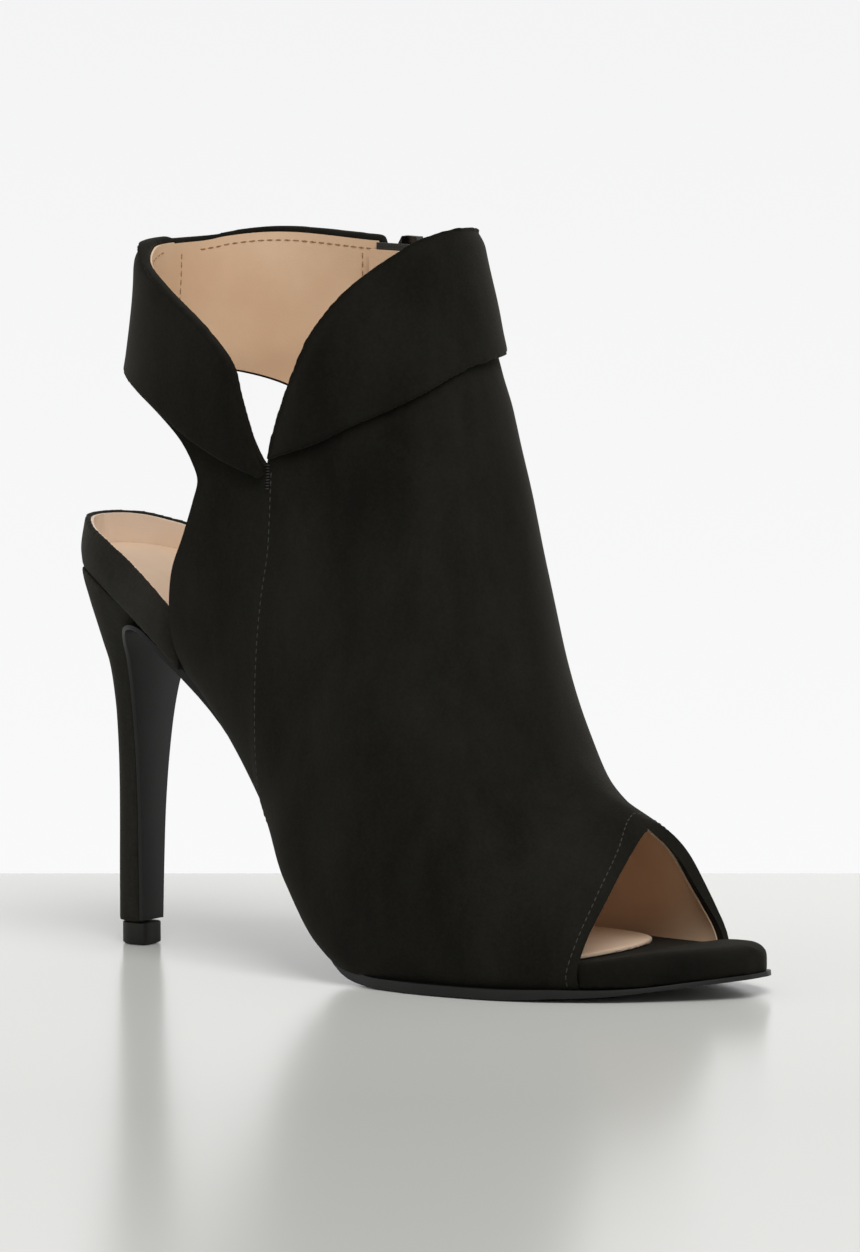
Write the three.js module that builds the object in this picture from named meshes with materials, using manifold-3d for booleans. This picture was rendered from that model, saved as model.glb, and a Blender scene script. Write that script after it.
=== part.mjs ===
// A peep-toe ankle boot on a stiletto heel, for the right foot, in millimetres.
// +X runs towards the toe, +Y to the wearer's left (the inner side), +Z up from the floor.
// The upper is one hollow shell: an outer form of the last and ankle, less an inner form, cut open at
// the toe, under the foot, behind the heel, along the collar and down the zip.
import * as THREE from "three";
import { mergeVertices } from "three/addons/utils/BufferGeometryUtils.js";
import Module from "manifold-3d";

const wasm = await Module();
wasm.setup();
const { Manifold, Mesh } = wasm;

// Sizes
const length = 212; // back of the heel seat to the toe tip, along the floor
const ballWidth = 80; // outside of the upper across the ball
const ankleWidth = 71; // outside of the upper across the ankle
const heelHeight = 101; // floor to the seat at the back of the heel
const shaftHeight = 92; // seat to the top of the collar
const toeSpring = 4.7; // floor to the sole at the toe tip
const upperWall = 2.2; // suede and lining together
const outsoleThickness = 3; // at the tread
const shankThickness = 2.2; // the same sole under the waist
const flapThickness = 1.2; // where it runs down the breast of the heel
const bedThickness = 6; // insole board and padding under the forefoot
const toeThickness = 5.2; // the same bed at the toe tip
const boardThickness = 2.4; // the same board under the waist and heel
const sockThickness = 1.2; // sock lining on the board
const counterThickness = 2; // low suede wall round the heel seat
const counterHeight = 12; // that wall above the seat, at the back
const cuffThickness = 1.9; // folded collar
const cuffStandOff = 0.4; // between the shaft and the folded collar, at its fold
const cuffFlare = 0.9; // how much further the cuff stands off at its free edge
const heelTipHeight = 5.8; // replaceable top piece
const heelTipInset = 0.7; // how far the top piece lies inside the heel's end
const zipGap = 11; // between the two suede edges of the zip
const zipMouth = 20; // the same gap at the collar, where the corners turn away
const zipTapeThickness = 1;
const tapeMargin = 4.5; // how far the tape runs on behind each suede edge
const tapeFoot = 2; // how far it runs on under the foot of the slot
const tapeDrop = 2; // from the collar down to its top
const layerStep = 1; // how much further each layer behind the coil reaches at top and foot
const guardMargin = 1.5; // how much wider the guard is than the tape, on each side
const coilWidth = 4.6;
const coilHeight = 1.3; // above the tape
const guardThickness = 0.9; // leather flap behind the zip
const sliderLength = 10;
const sliderWidth = 7.6;
const sliderPlate = 1.3; // over the coil
const bridgeLength = 7; // loop on the slider that carries the pull
const bridgeWidth = 2.2;
const bridgeThickness = 0.9;
const pullLength = 25; // from its hinge to its free end
const pullWidth = 5.6;
const pullThickness = 1.4;
const clearance = 0.3; // between two pieces that meet
const seatFloor = 1.2; // suede and backing under the board at the heel
const toeInset = 1; // how far the bed lies inside the sole's edge at the toe
const sockInset = 0.5; // how much smaller the sock is than the board
const tuck = 5; // how far the forms reach below the bed before they are trimmed there

// Mesh fineness
const sectionSteps = 40; // round each section of the upper
const loftSteps = 2; // between two rows of the section table
const heelSteps = 32; // round each level of the heel

// The bed is the line where the upper and board sit on the outsole and heel, seen from the side.
// along is a share of the length from the back of the heel, lift of the heel height, spring of the toe spring.
const bedTable = [
  { along: -0.02, lift: 1.001, spring: 0 },
  { along: 0.0, lift: 1.0, spring: 0 },
  { along: 0.047, lift: 0.983, spring: 0 },
  { along: 0.094, lift: 0.941, spring: 0 },
  { along: 0.142, lift: 0.876, spring: 0 },
  { along: 0.208, lift: 0.761, spring: 0 },
  { along: 0.269, lift: 0.638, spring: 0 },
  { along: 0.307, lift: 0.539, spring: 0 },
  { along: 0.335, lift: 0.459, spring: 0 },
  { along: 0.359, lift: 0.369, spring: 0 },
  { along: 0.394, lift: 0.249, spring: 0 },
  { along: 0.43, lift: 0.138, spring: 0 },
  { along: 0.462, lift: 0.061, spring: 0 },
  { along: 0.489, lift: 0.0225, spring: 0 },
  { along: 0.518, lift: 0.006, spring: 0 },
  { along: 0.566, lift: 0, spring: 0 },
  { along: 0.731, lift: 0, spring: 0 },
  { along: 0.825, lift: 0, spring: 0.13 },
  { along: 0.896, lift: 0, spring: 0.4 },
  { along: 0.943, lift: 0, spring: 0.67 },
  { along: 1.0, lift: 0, spring: 1 },
  { along: 1.05, lift: 0, spring: 1.3 },
];

// Outline of the sole from above, in order from the toe tip: half widths as shares of the ball width,
// and how far the middle line swings to the inner side.
const soleOutline = [
  { along: 0.99, outer: 0.02, inner: 0.02, swing: 0.075 },
  { along: 0.984, outer: 0.08, inner: 0.08, swing: 0.075 },
  { along: 0.971, outer: 0.136, inner: 0.134, swing: 0.073 },
  { along: 0.95, outer: 0.198, inner: 0.192, swing: 0.068 },
  { along: 0.92, outer: 0.26, inner: 0.247, swing: 0.057 },
  { along: 0.885, outer: 0.32, inner: 0.3, swing: 0.04 },
  { along: 0.84, outer: 0.385, inner: 0.358, swing: 0.02 },
  { along: 0.778, outer: 0.456, inner: 0.42, swing: 0.004 },
  { along: 0.708, outer: 0.503, inner: 0.462, swing: 0 },
  { along: 0.637, outer: 0.514, inner: 0.468, swing: 0 },
  { along: 0.566, outer: 0.49, inner: 0.448, swing: 0 },
  { along: 0.509, outer: 0.43, inner: 0.4, swing: 0 },
  { along: 0.453, outer: 0.352, inner: 0.34, swing: 0 },
  { along: 0.396, outer: 0.296, inner: 0.285, swing: 0 },
  { along: 0.33, outer: 0.268, inner: 0.256, swing: 0 },
  { along: 0.26, outer: 0.274, inner: 0.262, swing: 0 },
  { along: 0.208, outer: 0.29, inner: 0.28, swing: 0 },
];

// Where the outsole leaves the waist, turns and runs down the breast of the heel.
// rise is a share of the heel height, half a share of the ball width.
const breastTable = [
  { along: 0.175, rise: 0.815, half: 0.3 },
  { along: 0.152, rise: 0.848, half: 0.298 },
  { along: 0.132, rise: 0.857, half: 0.285 },
  { along: 0.114, rise: 0.845, half: 0.258 },
  { along: 0.101, rise: 0.81, half: 0.214 },
  { along: 0.0935, rise: 0.76, half: 0.168 },
  { along: 0.0885, rise: 0.7, half: 0.134 },
  { along: 0.0855, rise: 0.62, half: 0.108 },
  { along: 0.0835, rise: 0.5, half: 0.084 },
  { along: 0.082, rise: 0.36, half: 0.068 },
  { along: 0.0812, rise: 0.2, half: 0.06 },
  { along: 0.0808, rise: 0.065, half: 0.056 },
];

// The heel block, level by level: back and front as shares of the length, rise of the heel height,
// half width of the ball width.
const heelTable = [
  { rise: 0.0, back: 0.0415, front: 0.085, half: 0.063 },
  { rise: 0.12, back: 0.0415, front: 0.085, half: 0.064 },
  { rise: 0.3, back: 0.0425, front: 0.087, half: 0.069 },
  { rise: 0.45, back: 0.0432, front: 0.089, half: 0.079 },
  { rise: 0.57, back: 0.0425, front: 0.092, half: 0.094 },
  { rise: 0.65, back: 0.0405, front: 0.097, half: 0.112 },
  { rise: 0.72, back: 0.0385, front: 0.104, half: 0.14 },
  { rise: 0.78, back: 0.034, front: 0.114, half: 0.178 },
  { rise: 0.84, back: 0.031, front: 0.13, half: 0.226 },
  { rise: 0.9, back: 0.0265, front: 0.15, half: 0.272 },
  { rise: 0.96, back: 0.0185, front: 0.17, half: 0.302 },
  { rise: 1.0, back: 0.011, front: 0.18, half: 0.31 },
  { rise: 1.03, back: 0.009, front: 0.185, half: 0.31 },
];

// Outline of the heel seat from above, from the back round to where it runs under the upper.
const seatOutline = [
  { along: 0.0005, half: 0.03 },
  { along: 0.006, half: 0.089 },
  { along: 0.0245, half: 0.169 },
  { along: 0.055, half: 0.243 },
  { along: 0.1, half: 0.3 },
  { along: 0.15, half: 0.322 },
  { along: 0.2, half: 0.325 },
  { along: 0.25, half: 0.322 },
  { along: 0.3, half: 0.322 },
];

// Sections of the last and ankle. Each lies in a plane across the shoe, from a back (or under) point to a
// front point. along is a share of the length, lift of the heel height, rise of the shaft height. outer and
// inner are half widths, shares of the ball width in the foot and of the ankle width in the leg. widest says
// how far from back to front the section is widest, and sunk how much of the tuck it takes. The powers round
// each half: 2 is an ellipse, more is squarer.
const sections = [
  {
    back: [0.925, 0.0, 0.067],
    front: [0.896, 0.0, 0.36],
    outer: 0.262, inner: 0.24, leg: 0, swing: 0.05,
    sunk: 1, widest: 0.22, backPower: 3.4, frontPower: 1.6,
  },
  {
    back: [0.849, 0.0, 0.048],
    front: [0.824, 0.0, 0.478],
    outer: 0.385, inner: 0.348, leg: 0, swing: 0.012,
    sunk: 1, widest: 0.2, backPower: 3.4, frontPower: 1.6,
  },
  {
    back: [0.769, 0.0, 0.034],
    front: [0.756, 0.0, 0.562],
    outer: 0.468, inner: 0.42, leg: 0, swing: 0.003,
    sunk: 1, widest: 0.18, backPower: 3.6, frontPower: 1.68,
  },
  {
    back: [0.689, 0.0, 0.033],
    front: [0.717, 0.01, 0.643],
    outer: 0.513, inner: 0.465, leg: 0, swing: 0,
    sunk: 1, widest: 0.17, backPower: 3.8, frontPower: 1.75,
  },
  {
    back: [0.604, 0.0, 0.033],
    front: [0.693, 0.08, 0.721],
    outer: 0.523, inner: 0.477, leg: 0, swing: 0,
    sunk: 1, widest: 0.18, backPower: 3.8, frontPower: 1.8,
  },
  {
    back: [0.518, 0.006, 0.033],
    front: [0.675, 0.2, 0.755],
    outer: 0.516, inner: 0.468, leg: 0, swing: 0,
    sunk: 1, widest: 0.22, backPower: 4, frontPower: 1.85,
  },
  {
    back: [0.457, 0.07, 0.033],
    front: [0.658, 0.35, 0.753],
    outer: 0.505, inner: 0.455, leg: 0, swing: 0,
    sunk: 1, widest: 0.27, backPower: 4.2, frontPower: 1.9,
  },
  {
    back: [0.402, 0.222, 0.025],
    front: [0.643, 0.5, 0.732],
    outer: 0.485, inner: 0.44, leg: 0, swing: 0,
    sunk: 1, widest: 0.33, backPower: 4.2, frontPower: 1.95,
  },
  {
    back: [0.349, 0.413, 0.022],
    front: [0.628, 0.62, 0.721],
    outer: 0.45, inner: 0.43, leg: 0, swing: 0,
    sunk: 1, widest: 0.4, backPower: 3.8, frontPower: 2,
  },
  {
    back: [0.259, 0.658, 0.015],
    front: [0.615, 0.75, 0.687],
    outer: 0.5, inner: 0.485, leg: 1, swing: 0,
    sunk: 1, widest: 0.46, backPower: 3.4, frontPower: 2,
  },
  {
    back: [0.151, 0.86, 0.01],
    front: [0.605, 0.85, 0.686],
    outer: 0.498, inner: 0.487, leg: 1, swing: 0,
    sunk: 1, widest: 0.49, backPower: 2.7, frontPower: 2,
  },
  {
    back: [0.07, 1.0, 0.13],
    front: [0.593, 0.93, 0.675],
    outer: 0.505, inner: 0.495, leg: 1, swing: 0,
    sunk: 0.3, widest: 0.5, backPower: 2.3, frontPower: 2,
  },
  {
    back: [0.066, 1.0, 0.37],
    front: [0.581, 0.97, 0.707],
    outer: 0.506, inner: 0.498, leg: 1, swing: 0,
    sunk: 0, widest: 0.5, backPower: 2.15, frontPower: 2,
  },
  {
    back: [0.0965, 1.0, 0.587],
    front: [0.568, 1.0, 0.772],
    outer: 0.505, inner: 0.5, leg: 1, swing: 0,
    sunk: 0, widest: 0.5, backPower: 2.1, frontPower: 2,
  },
  {
    back: [0.1085, 1.0, 0.815],
    front: [0.552, 1.0, 0.902],
    outer: 0.502, inner: 0.498, leg: 1, swing: 0,
    sunk: 0, widest: 0.5, backPower: 2.1, frontPower: 2,
  },
  {
    back: [0.1105, 1.0, 0.99],
    front: [0.54, 1.0, 1.022],
    outer: 0.5, inner: 0.497, leg: 1, swing: 0,
    sunk: 0, widest: 0.5, backPower: 2.1, frontPower: 2,
  },
  {
    back: [0.112, 1.0, 1.2],
    front: [0.526, 1.0, 1.2],
    outer: 0.497, inner: 0.494, leg: 1, swing: 0,
    sunk: 0, widest: 0.5, backPower: 2.1, frontPower: 2,
  },
];

// Edges of the upper seen from the side: along is a share of the length, lift of the heel height and rise of
// the shaft height.
const heelOpeningEdge = [
  { along: 0.222, lift: 0.7, rise: 0.0 },
  { along: 0.2155, lift: 0.77, rise: 0.07 },
  { along: 0.2195, lift: 0.8, rise: 0.124 },
  { along: 0.231, lift: 0.9, rise: 0.131 },
  { along: 0.2535, lift: 0.95, rise: 0.178 },
  { along: 0.2725, lift: 1.0, rise: 0.226 },
  { along: 0.2805, lift: 1.0, rise: 0.286 },
  { along: 0.2725, lift: 1.0, rise: 0.333 },
  { along: 0.254, lift: 1.0, rise: 0.392 },
  { along: 0.2245, lift: 1.0, rise: 0.446 },
  { along: 0.191, lift: 1.0, rise: 0.489 },
  { along: 0.132, lift: 1.0, rise: 0.533 },
  { along: 0.07, lift: 1.0, rise: 0.558 },
  { along: -0.05, lift: 1.0, rise: 0.56 },
];
const outerCollarBack = [
  { along: -0.05, rise: 0.925 },
  { along: 0.106, rise: 0.925 },
  { along: 0.12, rise: 0.913 },
  { along: 0.137, rise: 0.898 },
  { along: 0.16, rise: 0.88 },
  { along: 0.217, rise: 0.82 },
  { along: 0.279, rise: 0.74 },
  { along: 0.324, rise: 0.65 },
  { along: 0.338, rise: 0.605 },
  { along: 0.3495, rise: 0.517 },
  { along: 0.3835, rise: 0.347 },
];
const outerCollarFront = [
  { along: 0.3835, rise: 0.347 },
  { along: 0.397, rise: 0.441 },
  { along: 0.4095, rise: 0.527 },
  { along: 0.4325, rise: 0.67 },
  { along: 0.4487, rise: 0.741 },
  { along: 0.4786, rise: 0.835 },
  { along: 0.517, rise: 0.922 },
  { along: 0.5486, rise: 0.983 },
  { along: 0.566, rise: 1.0 },
  { along: 0.65, rise: 1.02 },
];
const innerCollar = [
  { along: -0.05, rise: 0.925 },
  { along: 0.106, rise: 0.925 },
  { along: 0.13, rise: 0.938 },
  { along: 0.2, rise: 0.946 },
  { along: 0.32, rise: 0.939 },
  { along: 0.41, rise: 0.946 },
  { along: 0.495, rise: 0.968 },
  { along: 0.5486, rise: 0.983 },
  { along: 0.566, rise: 1.0 },
  { along: 0.65, rise: 1.02 },
];
// Free edges of the folded collar.
const frontCuffOuterEdge = [
  { along: 0.3835, rise: 0.35 },
  { along: 0.4528, rise: 0.405 },
  { along: 0.4953, rise: 0.457 },
  { along: 0.5377, rise: 0.505 },
  { along: 0.5736, rise: 0.563 },
  { along: 0.589, rise: 0.603 },
  { along: 0.6, rise: 0.632 },
  { along: 0.66, rise: 0.64 },
];
const frontCuffInnerEdge = [
  { along: 0.3, rise: 0.6 },
  { along: 0.42, rise: 0.622 },
  { along: 0.5, rise: 0.642 },
  { along: 0.565, rise: 0.646 },
  { along: 0.6, rise: 0.632 },
  { along: 0.66, rise: 0.64 },
];
const rearCuffOuterEdge = [
  { along: -0.05, rise: 0.574 },
  { along: 0.078, rise: 0.572 },
  { along: 0.132, rise: 0.548 },
  { along: 0.191, rise: 0.503 },
  { along: 0.2245, rise: 0.463 },
  { along: 0.31, rise: 0.36 },
  { along: 0.3835, rise: 0.3 },
];
const rearCuffInnerEdge = [
  { along: -0.05, rise: 0.574 },
  { along: 0.078, rise: 0.572 },
  { along: 0.132, rise: 0.545 },
  { along: 0.191, rise: 0.495 },
  { along: 0.26, rise: 0.43 },
  { along: 0.36, rise: 0.37 },
];
// Front edge of the sock seen from above; side is a share of the ball width, plus to the inner side.
const sockEdge = [
  { along: 0.79, side: -0.6 },
  { along: 0.798, side: -0.4 },
  { along: 0.8065, side: -0.3 },
  { along: 0.8085, side: -0.19 },
  { along: 0.807, side: -0.06 },
  { along: 0.8, side: 0.08 },
  { along: 0.786, side: 0.19 },
  { along: 0.764, side: 0.285 },
  { along: 0.732, side: 0.342 },
  { along: 0.69, side: 0.375 },
  { along: 0.64, side: 0.4 },
  { along: 0.6, side: 0.6 },
];
// Peep toe: the edge of the vamp seen from the side, from above its top down to the sole. The outer side
// bulges forwards and the inner side runs out further at its foot.
const peepOuterEdge = [
  { along: 0.79, rise: 0.58 },
  { along: 0.8255, rise: 0.475 },
  { along: 0.8405, rise: 0.4 },
  { along: 0.8445, rise: 0.28 },
  { along: 0.837, rise: 0.16 },
  { along: 0.828, rise: 0.07 },
  { along: 0.825, rise: -0.05 },
];
const peepInnerEdge = [
  { along: 0.79, rise: 0.58 },
  { along: 0.8255, rise: 0.475 },
  { along: 0.831, rise: 0.4 },
  { along: 0.833, rise: 0.29 },
  { along: 0.842, rise: 0.21 },
  { along: 0.851, rise: 0.16 },
  { along: 0.859, rise: 0.11 },
  { along: 0.862, rise: 0.04 },
  { along: 0.862, rise: -0.05 },
];
// Top of the low wall round the heel seat, as a share of its own height at the back.
const counterEdge = [
  { along: -0.02, share: 1 },
  { along: 0.01, share: 1 },
  { along: 0.05, share: 0.93 },
  { along: 0.12, share: 0.9 },
  { along: 0.18, share: 0.85 },
  { along: 0.3, share: 0.82 },
];
// Zip: its middle line from the collar down, on the inner side.
const zipTop = { along: 0.366, rise: 0.93 };
const zipKnee = { along: 0.366, rise: 0.68 };
const zipFoot = { along: 0.354, rise: -0.43 };

// Helpers

// Slopes for a curve through the knots that never runs past a row, so flat rows stay flat.
function slopes(knots, values) {
  const steps = knots.slice(1).map((k, i) => (values[i + 1] - values[i]) / (k - knots[i]));
  return values.map((_, i) => {
    const before = steps[Math.max(i - 1, 0)];
    const after = steps[Math.min(i, steps.length - 1)];
    return before * after <= 0 ? 0 : (2 * before * after) / (before + after);
  });
}

// One column of a table at any place along its knots.
function column(knots, values) {
  const tangents = slopes(knots, values);
  return (at) => {
    const last = knots.length - 2;
    let i = knots.findIndex((k, n) => n > 0 && at <= k) - 1;
    if (i < 0) i = at <= knots[0] ? 0 : last;
    const width = knots[i + 1] - knots[i];
    const t = Math.min(Math.max((at - knots[i]) / width, 0), 1);
    const rest = 1 - t;
    return (
      values[i] * rest * rest * (1 + 2 * t) +
      values[i + 1] * t * t * (3 - 2 * t) +
      tangents[i] * width * t * rest * rest -
      tangents[i + 1] * width * t * t * rest
    );
  };
}

// Points of a smooth curve through 2-D points, with a few steps between two of them.
function curve(points, steps = 3) {
  const nodes = points.map(([a, b]) => new THREE.Vector3(a, b, 0));
  const path = new THREE.CatmullRomCurve3(nodes, false, "centripetal");
  return path.getPoints(steps * (points.length - 1)).map((p) => [p.x, p.y]);
}

function toSolid(geometry) {
  geometry.deleteAttribute("normal");
  geometry.deleteAttribute("uv");
  const merged = mergeVertices(geometry, 1e-4);
  const vertProperties = new Float32Array(merged.attributes.position.array);
  const triVerts = new Uint32Array(merged.index.array);
  return new Manifold(new Mesh({ numProp: 3, vertProperties, triVerts }));
}

function toMesh(name, solid) {
  const made = solid.getMesh();
  const positions = new Float32Array(made.numVert * 3);
  for (let i = 0; i < made.numVert; i++) {
    positions.set(made.vertProperties.subarray(i * made.numProp, i * made.numProp + 3), i * 3);
  }
  const geometry = new THREE.BufferGeometry();
  geometry.setAttribute("position", new THREE.BufferAttribute(positions, 3));
  geometry.setIndex(new THREE.BufferAttribute(new Uint32Array(made.triVerts), 1));
  const mesh = new THREE.Mesh(geometry, new THREE.MeshStandardMaterial({ color: 0x222222 }));
  mesh.name = name;
  return mesh;
}

// A closed skin over rings of points: every ring has the same number of points, turning the same way.
function skin(rings) {
  const round = rings[0].length;
  const positions = rings.flat(2);
  const faces = [];
  for (let r = 0; r < rings.length - 1; r++) {
    for (let i = 0; i < round; i++) {
      const a = r * round + i;
      const b = r * round + ((i + 1) % round);
      faces.push(a, b, b + round, a, b + round, a + round);
    }
  }
  const capAt = (ring, first, turned) => {
    const centre = [0, 1, 2].map((axis) => ring.reduce((sum, p) => sum + p[axis], 0) / round);
    const middle = positions.push(...centre) / 3 - 1;
    for (let i = 0; i < round; i++) {
      const a = first + i;
      const b = first + ((i + 1) % round);
      faces.push(middle, turned ? b : a, turned ? a : b);
    }
  };
  capAt(rings[0], 0, true);
  capAt(rings[rings.length - 1], (rings.length - 1) * round, false);
  const geometry = new THREE.BufferGeometry();
  geometry.setAttribute("position", new THREE.BufferAttribute(new Float32Array(positions), 3));
  geometry.setIndex(faces);
  const solid = toSolid(geometry);
  if (solid.volume() > 0) return solid;
  for (let i = 0; i < faces.length; i += 3) [faces[i + 1], faces[i + 2]] = [faces[i + 2], faces[i + 1]];
  geometry.setIndex(faces);
  return toSolid(geometry);
}

const wide = ballWidth * 2; // further to either side than any piece reaches
const high = heelHeight + shaftHeight * 2; // above every piece
const behind = -length; // behind every piece
const ahead = length * 2; // ahead of every piece
const lastOf = (line) => line[line.length - 1];

// The outline as a shape, without points that lie on the line between their neighbours.
function shapeOf(outline) {
  const kept = outline.filter((point, i) => {
    const before = outline[(i + outline.length - 1) % outline.length];
    const after = outline[(i + 1) % outline.length];
    const [ax, ay] = [point[0] - before[0], point[1] - before[1]];
    const [bx, by] = [after[0] - point[0], after[1] - point[1]];
    return Math.abs(ax * by - ay * bx) > 1e-3;
  });
  return new THREE.Shape(kept.map(([a, b]) => new THREE.Vector2(a, b)));
}

// A block seen from the side as the outline, from one y to another.
function sideBlock(outline, fromY, toY) {
  const made = new THREE.ExtrudeGeometry(shapeOf(outline), { depth: toY - fromY, bevelEnabled: false });
  const place = made.getAttribute("position");
  for (let i = 0; i < place.count; i++) {
    place.setXYZ(i, place.getX(i), toY - place.getZ(i), place.getY(i));
  }
  return toSolid(made);
}

// A block seen from the front as the outline of y and z, from one x to another.
function acrossBlock(outline, fromX, toX) {
  const made = new THREE.ExtrudeGeometry(shapeOf(outline), { depth: toX - fromX, bevelEnabled: false });
  const place = made.getAttribute("position");
  for (let i = 0; i < place.count; i++) {
    place.setXYZ(i, fromX + place.getZ(i), place.getX(i), place.getY(i));
  }
  return toSolid(made);
}

// A block seen from above as the outline, through every height.
function planBlock(outline) {
  const made = new THREE.ExtrudeGeometry(shapeOf(outline), { depth: high * 2, bevelEnabled: false });
  return toSolid(made.translate(0, 0, -high / 2));
}

// The outline moved sideways by a distance, outwards for a loop drawn anticlockwise.
function shifted(outline, distance) {
  return outline.map((point, i) => {
    const before = outline[(i + outline.length - 1) % outline.length];
    const after = outline[(i + 1) % outline.length];
    const [dx, dy] = [after[0] - before[0], after[1] - before[1]];
    const far = Math.hypot(dx, dy);
    return [point[0] + (dy / far) * distance, point[1] - (dx / far) * distance];
  });
}

// Lines of the shoe seen from the side
const xAt = (along) => along * length;
const zAt = (lift, rise) => lift * heelHeight + rise * shaftHeight;
const shaftLine = (rows) => curve(rows.map((row) => [xAt(row.along), zAt(1, row.rise)]));

const bedKnots = bedTable.map((row) => xAt(row.along));
const bedValues = bedTable.map(
  (row) => outsoleThickness * (1 - row.lift) + row.lift * heelHeight + row.spring * toeSpring,
);
const bed = column(bedKnots, bedValues);
const firstX = bedKnots[0];
const lastX = bedKnots[bedKnots.length - 1];

// The bed moved along its own normal by a height that may change on the way.
function bedLine(height, fromX = firstX, toX = lastX, steps = 56) {
  const line = [];
  for (let i = 0; i <= steps; i++) {
    const x = fromX + ((toX - fromX) * i) / steps;
    const slope = (bed(x + 0.5) - bed(x - 0.5)) / 1;
    const far = Math.hypot(1, slope);
    const rise = typeof height === "function" ? height(x) : height;
    line.push([x - (slope / far) * rise, bed(x) + rise / far]);
  }
  return line;
}

// Everything below the bed line at that height.
function below(height) {
  const line = bedLine(height);
  const [start, end] = [firstX - length, lastX + length];
  const corners = [[start, line[0][1]], [start, -high], [end, -high], [end, lastOf(line)[1]]];
  return sideBlock([...corners, ...line.slice().reverse()], -wide, wide);
}

// Forms of the upper

// One section of the last as a ring of points, every point moved outwards by the distance.
function sectionRing(section, distance) {
  const ux = section.frontX - section.backX;
  const uz = section.frontZ - section.backZ;
  const far = Math.hypot(ux, uz);
  const whole = far + section.sunk * tuck + 2 * distance;
  const startAt = -section.sunk * tuck - distance;
  const widestAt = section.widest * far - startAt;
  const ring = [];
  for (let i = 0; i < sectionSteps; i++) {
    const angle = (2 * Math.PI * i) / sectionSteps;
    const along = -Math.cos(angle);
    const aside = Math.sin(angle);
    const power = along < 0 ? section.backPower : section.frontPower;
    const reach = along < 0 ? widestAt : whole - widestAt;
    const half = (aside > 0 ? section.inner : section.outer) + distance;
    const share = Math.pow(Math.abs(along / reach) ** power + Math.abs(aside / half) ** power, -1 / power);
    const place = (startAt + widestAt + along * share) / far;
    ring.push([
      section.backX + ux * place,
      section.swing + aside * share,
      section.backZ + uz * place,
    ]);
  }
  return ring;
}

const sectionRows = sections.map((row) => {
  const width = row.leg ? ankleWidth : ballWidth;
  return {
    backX: xAt(row.back[0]),
    backZ: zAt(row.back[1], row.back[2]),
    frontX: xAt(row.front[0]),
    frontZ: zAt(row.front[1], row.front[2]),
    outer: row.outer * width,
    inner: row.inner * width,
    swing: row.swing * ballWidth,
    sunk: row.sunk,
    widest: row.widest,
    backPower: row.backPower,
    frontPower: row.frontPower,
  };
});
const sectionKnots = [0];
for (let i = 1; i < sectionRows.length; i++) {
  const [a, b] = [sectionRows[i - 1], sectionRows[i]];
  const atBack = Math.hypot(b.backX - a.backX, b.backZ - a.backZ);
  const atFront = Math.hypot(b.frontX - a.frontX, b.frontZ - a.frontZ);
  sectionKnots.push(sectionKnots[i - 1] + (atBack + atFront) / 2);
}
const sectionColumns = Object.keys(sectionRows[0]).map((name) => {
  return [name, column(sectionKnots, sectionRows.map((row) => row[name]))];
});

// The last grown by a distance. The distance may change with the height of a section's front point.
function form(distance) {
  const rings = [];
  for (let i = 0; i < sectionKnots.length - 1; i++) {
    for (let s = 0; s < loftSteps; s++) {
      const width = sectionKnots[i + 1] - sectionKnots[i];
      rings.push(sectionKnots[i] + (width * s) / loftSteps);
    }
  }
  rings.push(sectionKnots[sectionKnots.length - 1]);
  return skin(
    rings.map((knot) => {
      const section = Object.fromEntries(sectionColumns.map(([name, at]) => [name, at(knot)]));
      const grown = typeof distance === "function" ? distance(section) : distance;
      return sectionRing(section, grown);
    }),
  );
}

// Cuts in the upper, each a block across the shoe seen from the side

function aboveLine(line, fromY, toY) {
  const corners = [[ahead, lastOf(line)[1]], [ahead, high * 2], [behind, high * 2], [behind, line[0][1]]];
  return sideBlock([...line, ...corners], fromY, toY);
}

function belowLine(line, fromY, toY) {
  const corners = [[behind, line[0][1]], [behind, -high], [ahead, -high], [ahead, lastOf(line)[1]]];
  return sideBlock([...corners, ...line.slice().reverse()], fromY, toY);
}

// Everything from one x to another and one y to another
function between(fromX, toX, fromY, toY) {
  return sideBlock([[fromX, -high], [toX, -high], [toX, high * 2], [fromX, high * 2]], fromY, toY);
}

// The open heel: the edge of the upper from the sole up to the rear strap, and everything behind it.
function heelOpening(grow) {
  const edge = curve(heelOpeningEdge.map((row) => [xAt(row.along), zAt(row.lift, row.rise)]));
  const outline = [[behind, 0], [edge[0][0], 0], ...edge, [behind, lastOf(edge)[1]]];
  return sideBlock(shifted(outline, grow), -wide, wide);
}

const outerCollarLine = [...shaftLine(outerCollarBack), ...shaftLine(outerCollarFront).slice(1)];
const aboveCollar = aboveLine(outerCollarLine, -wide, 0).add(aboveLine(shaftLine(innerCollar), 0, wide));

// Everything ahead of the toe's edge, on each side
function peepCut(grow) {
  const aheadOf = (rows, fromY, toY) => {
    const edge = curve(rows.map((row) => [xAt(row.along) - grow, zAt(0, row.rise)]));
    const corners = [[lastOf(edge)[0], -high], [ahead, -high], [ahead, high], [edge[0][0], high]];
    return sideBlock([...corners, ...edge], fromY, toY);
  };
  return aheadOf(peepOuterEdge, -wide, 0).add(aheadOf(peepInnerEdge, 0, wide));
}

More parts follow.
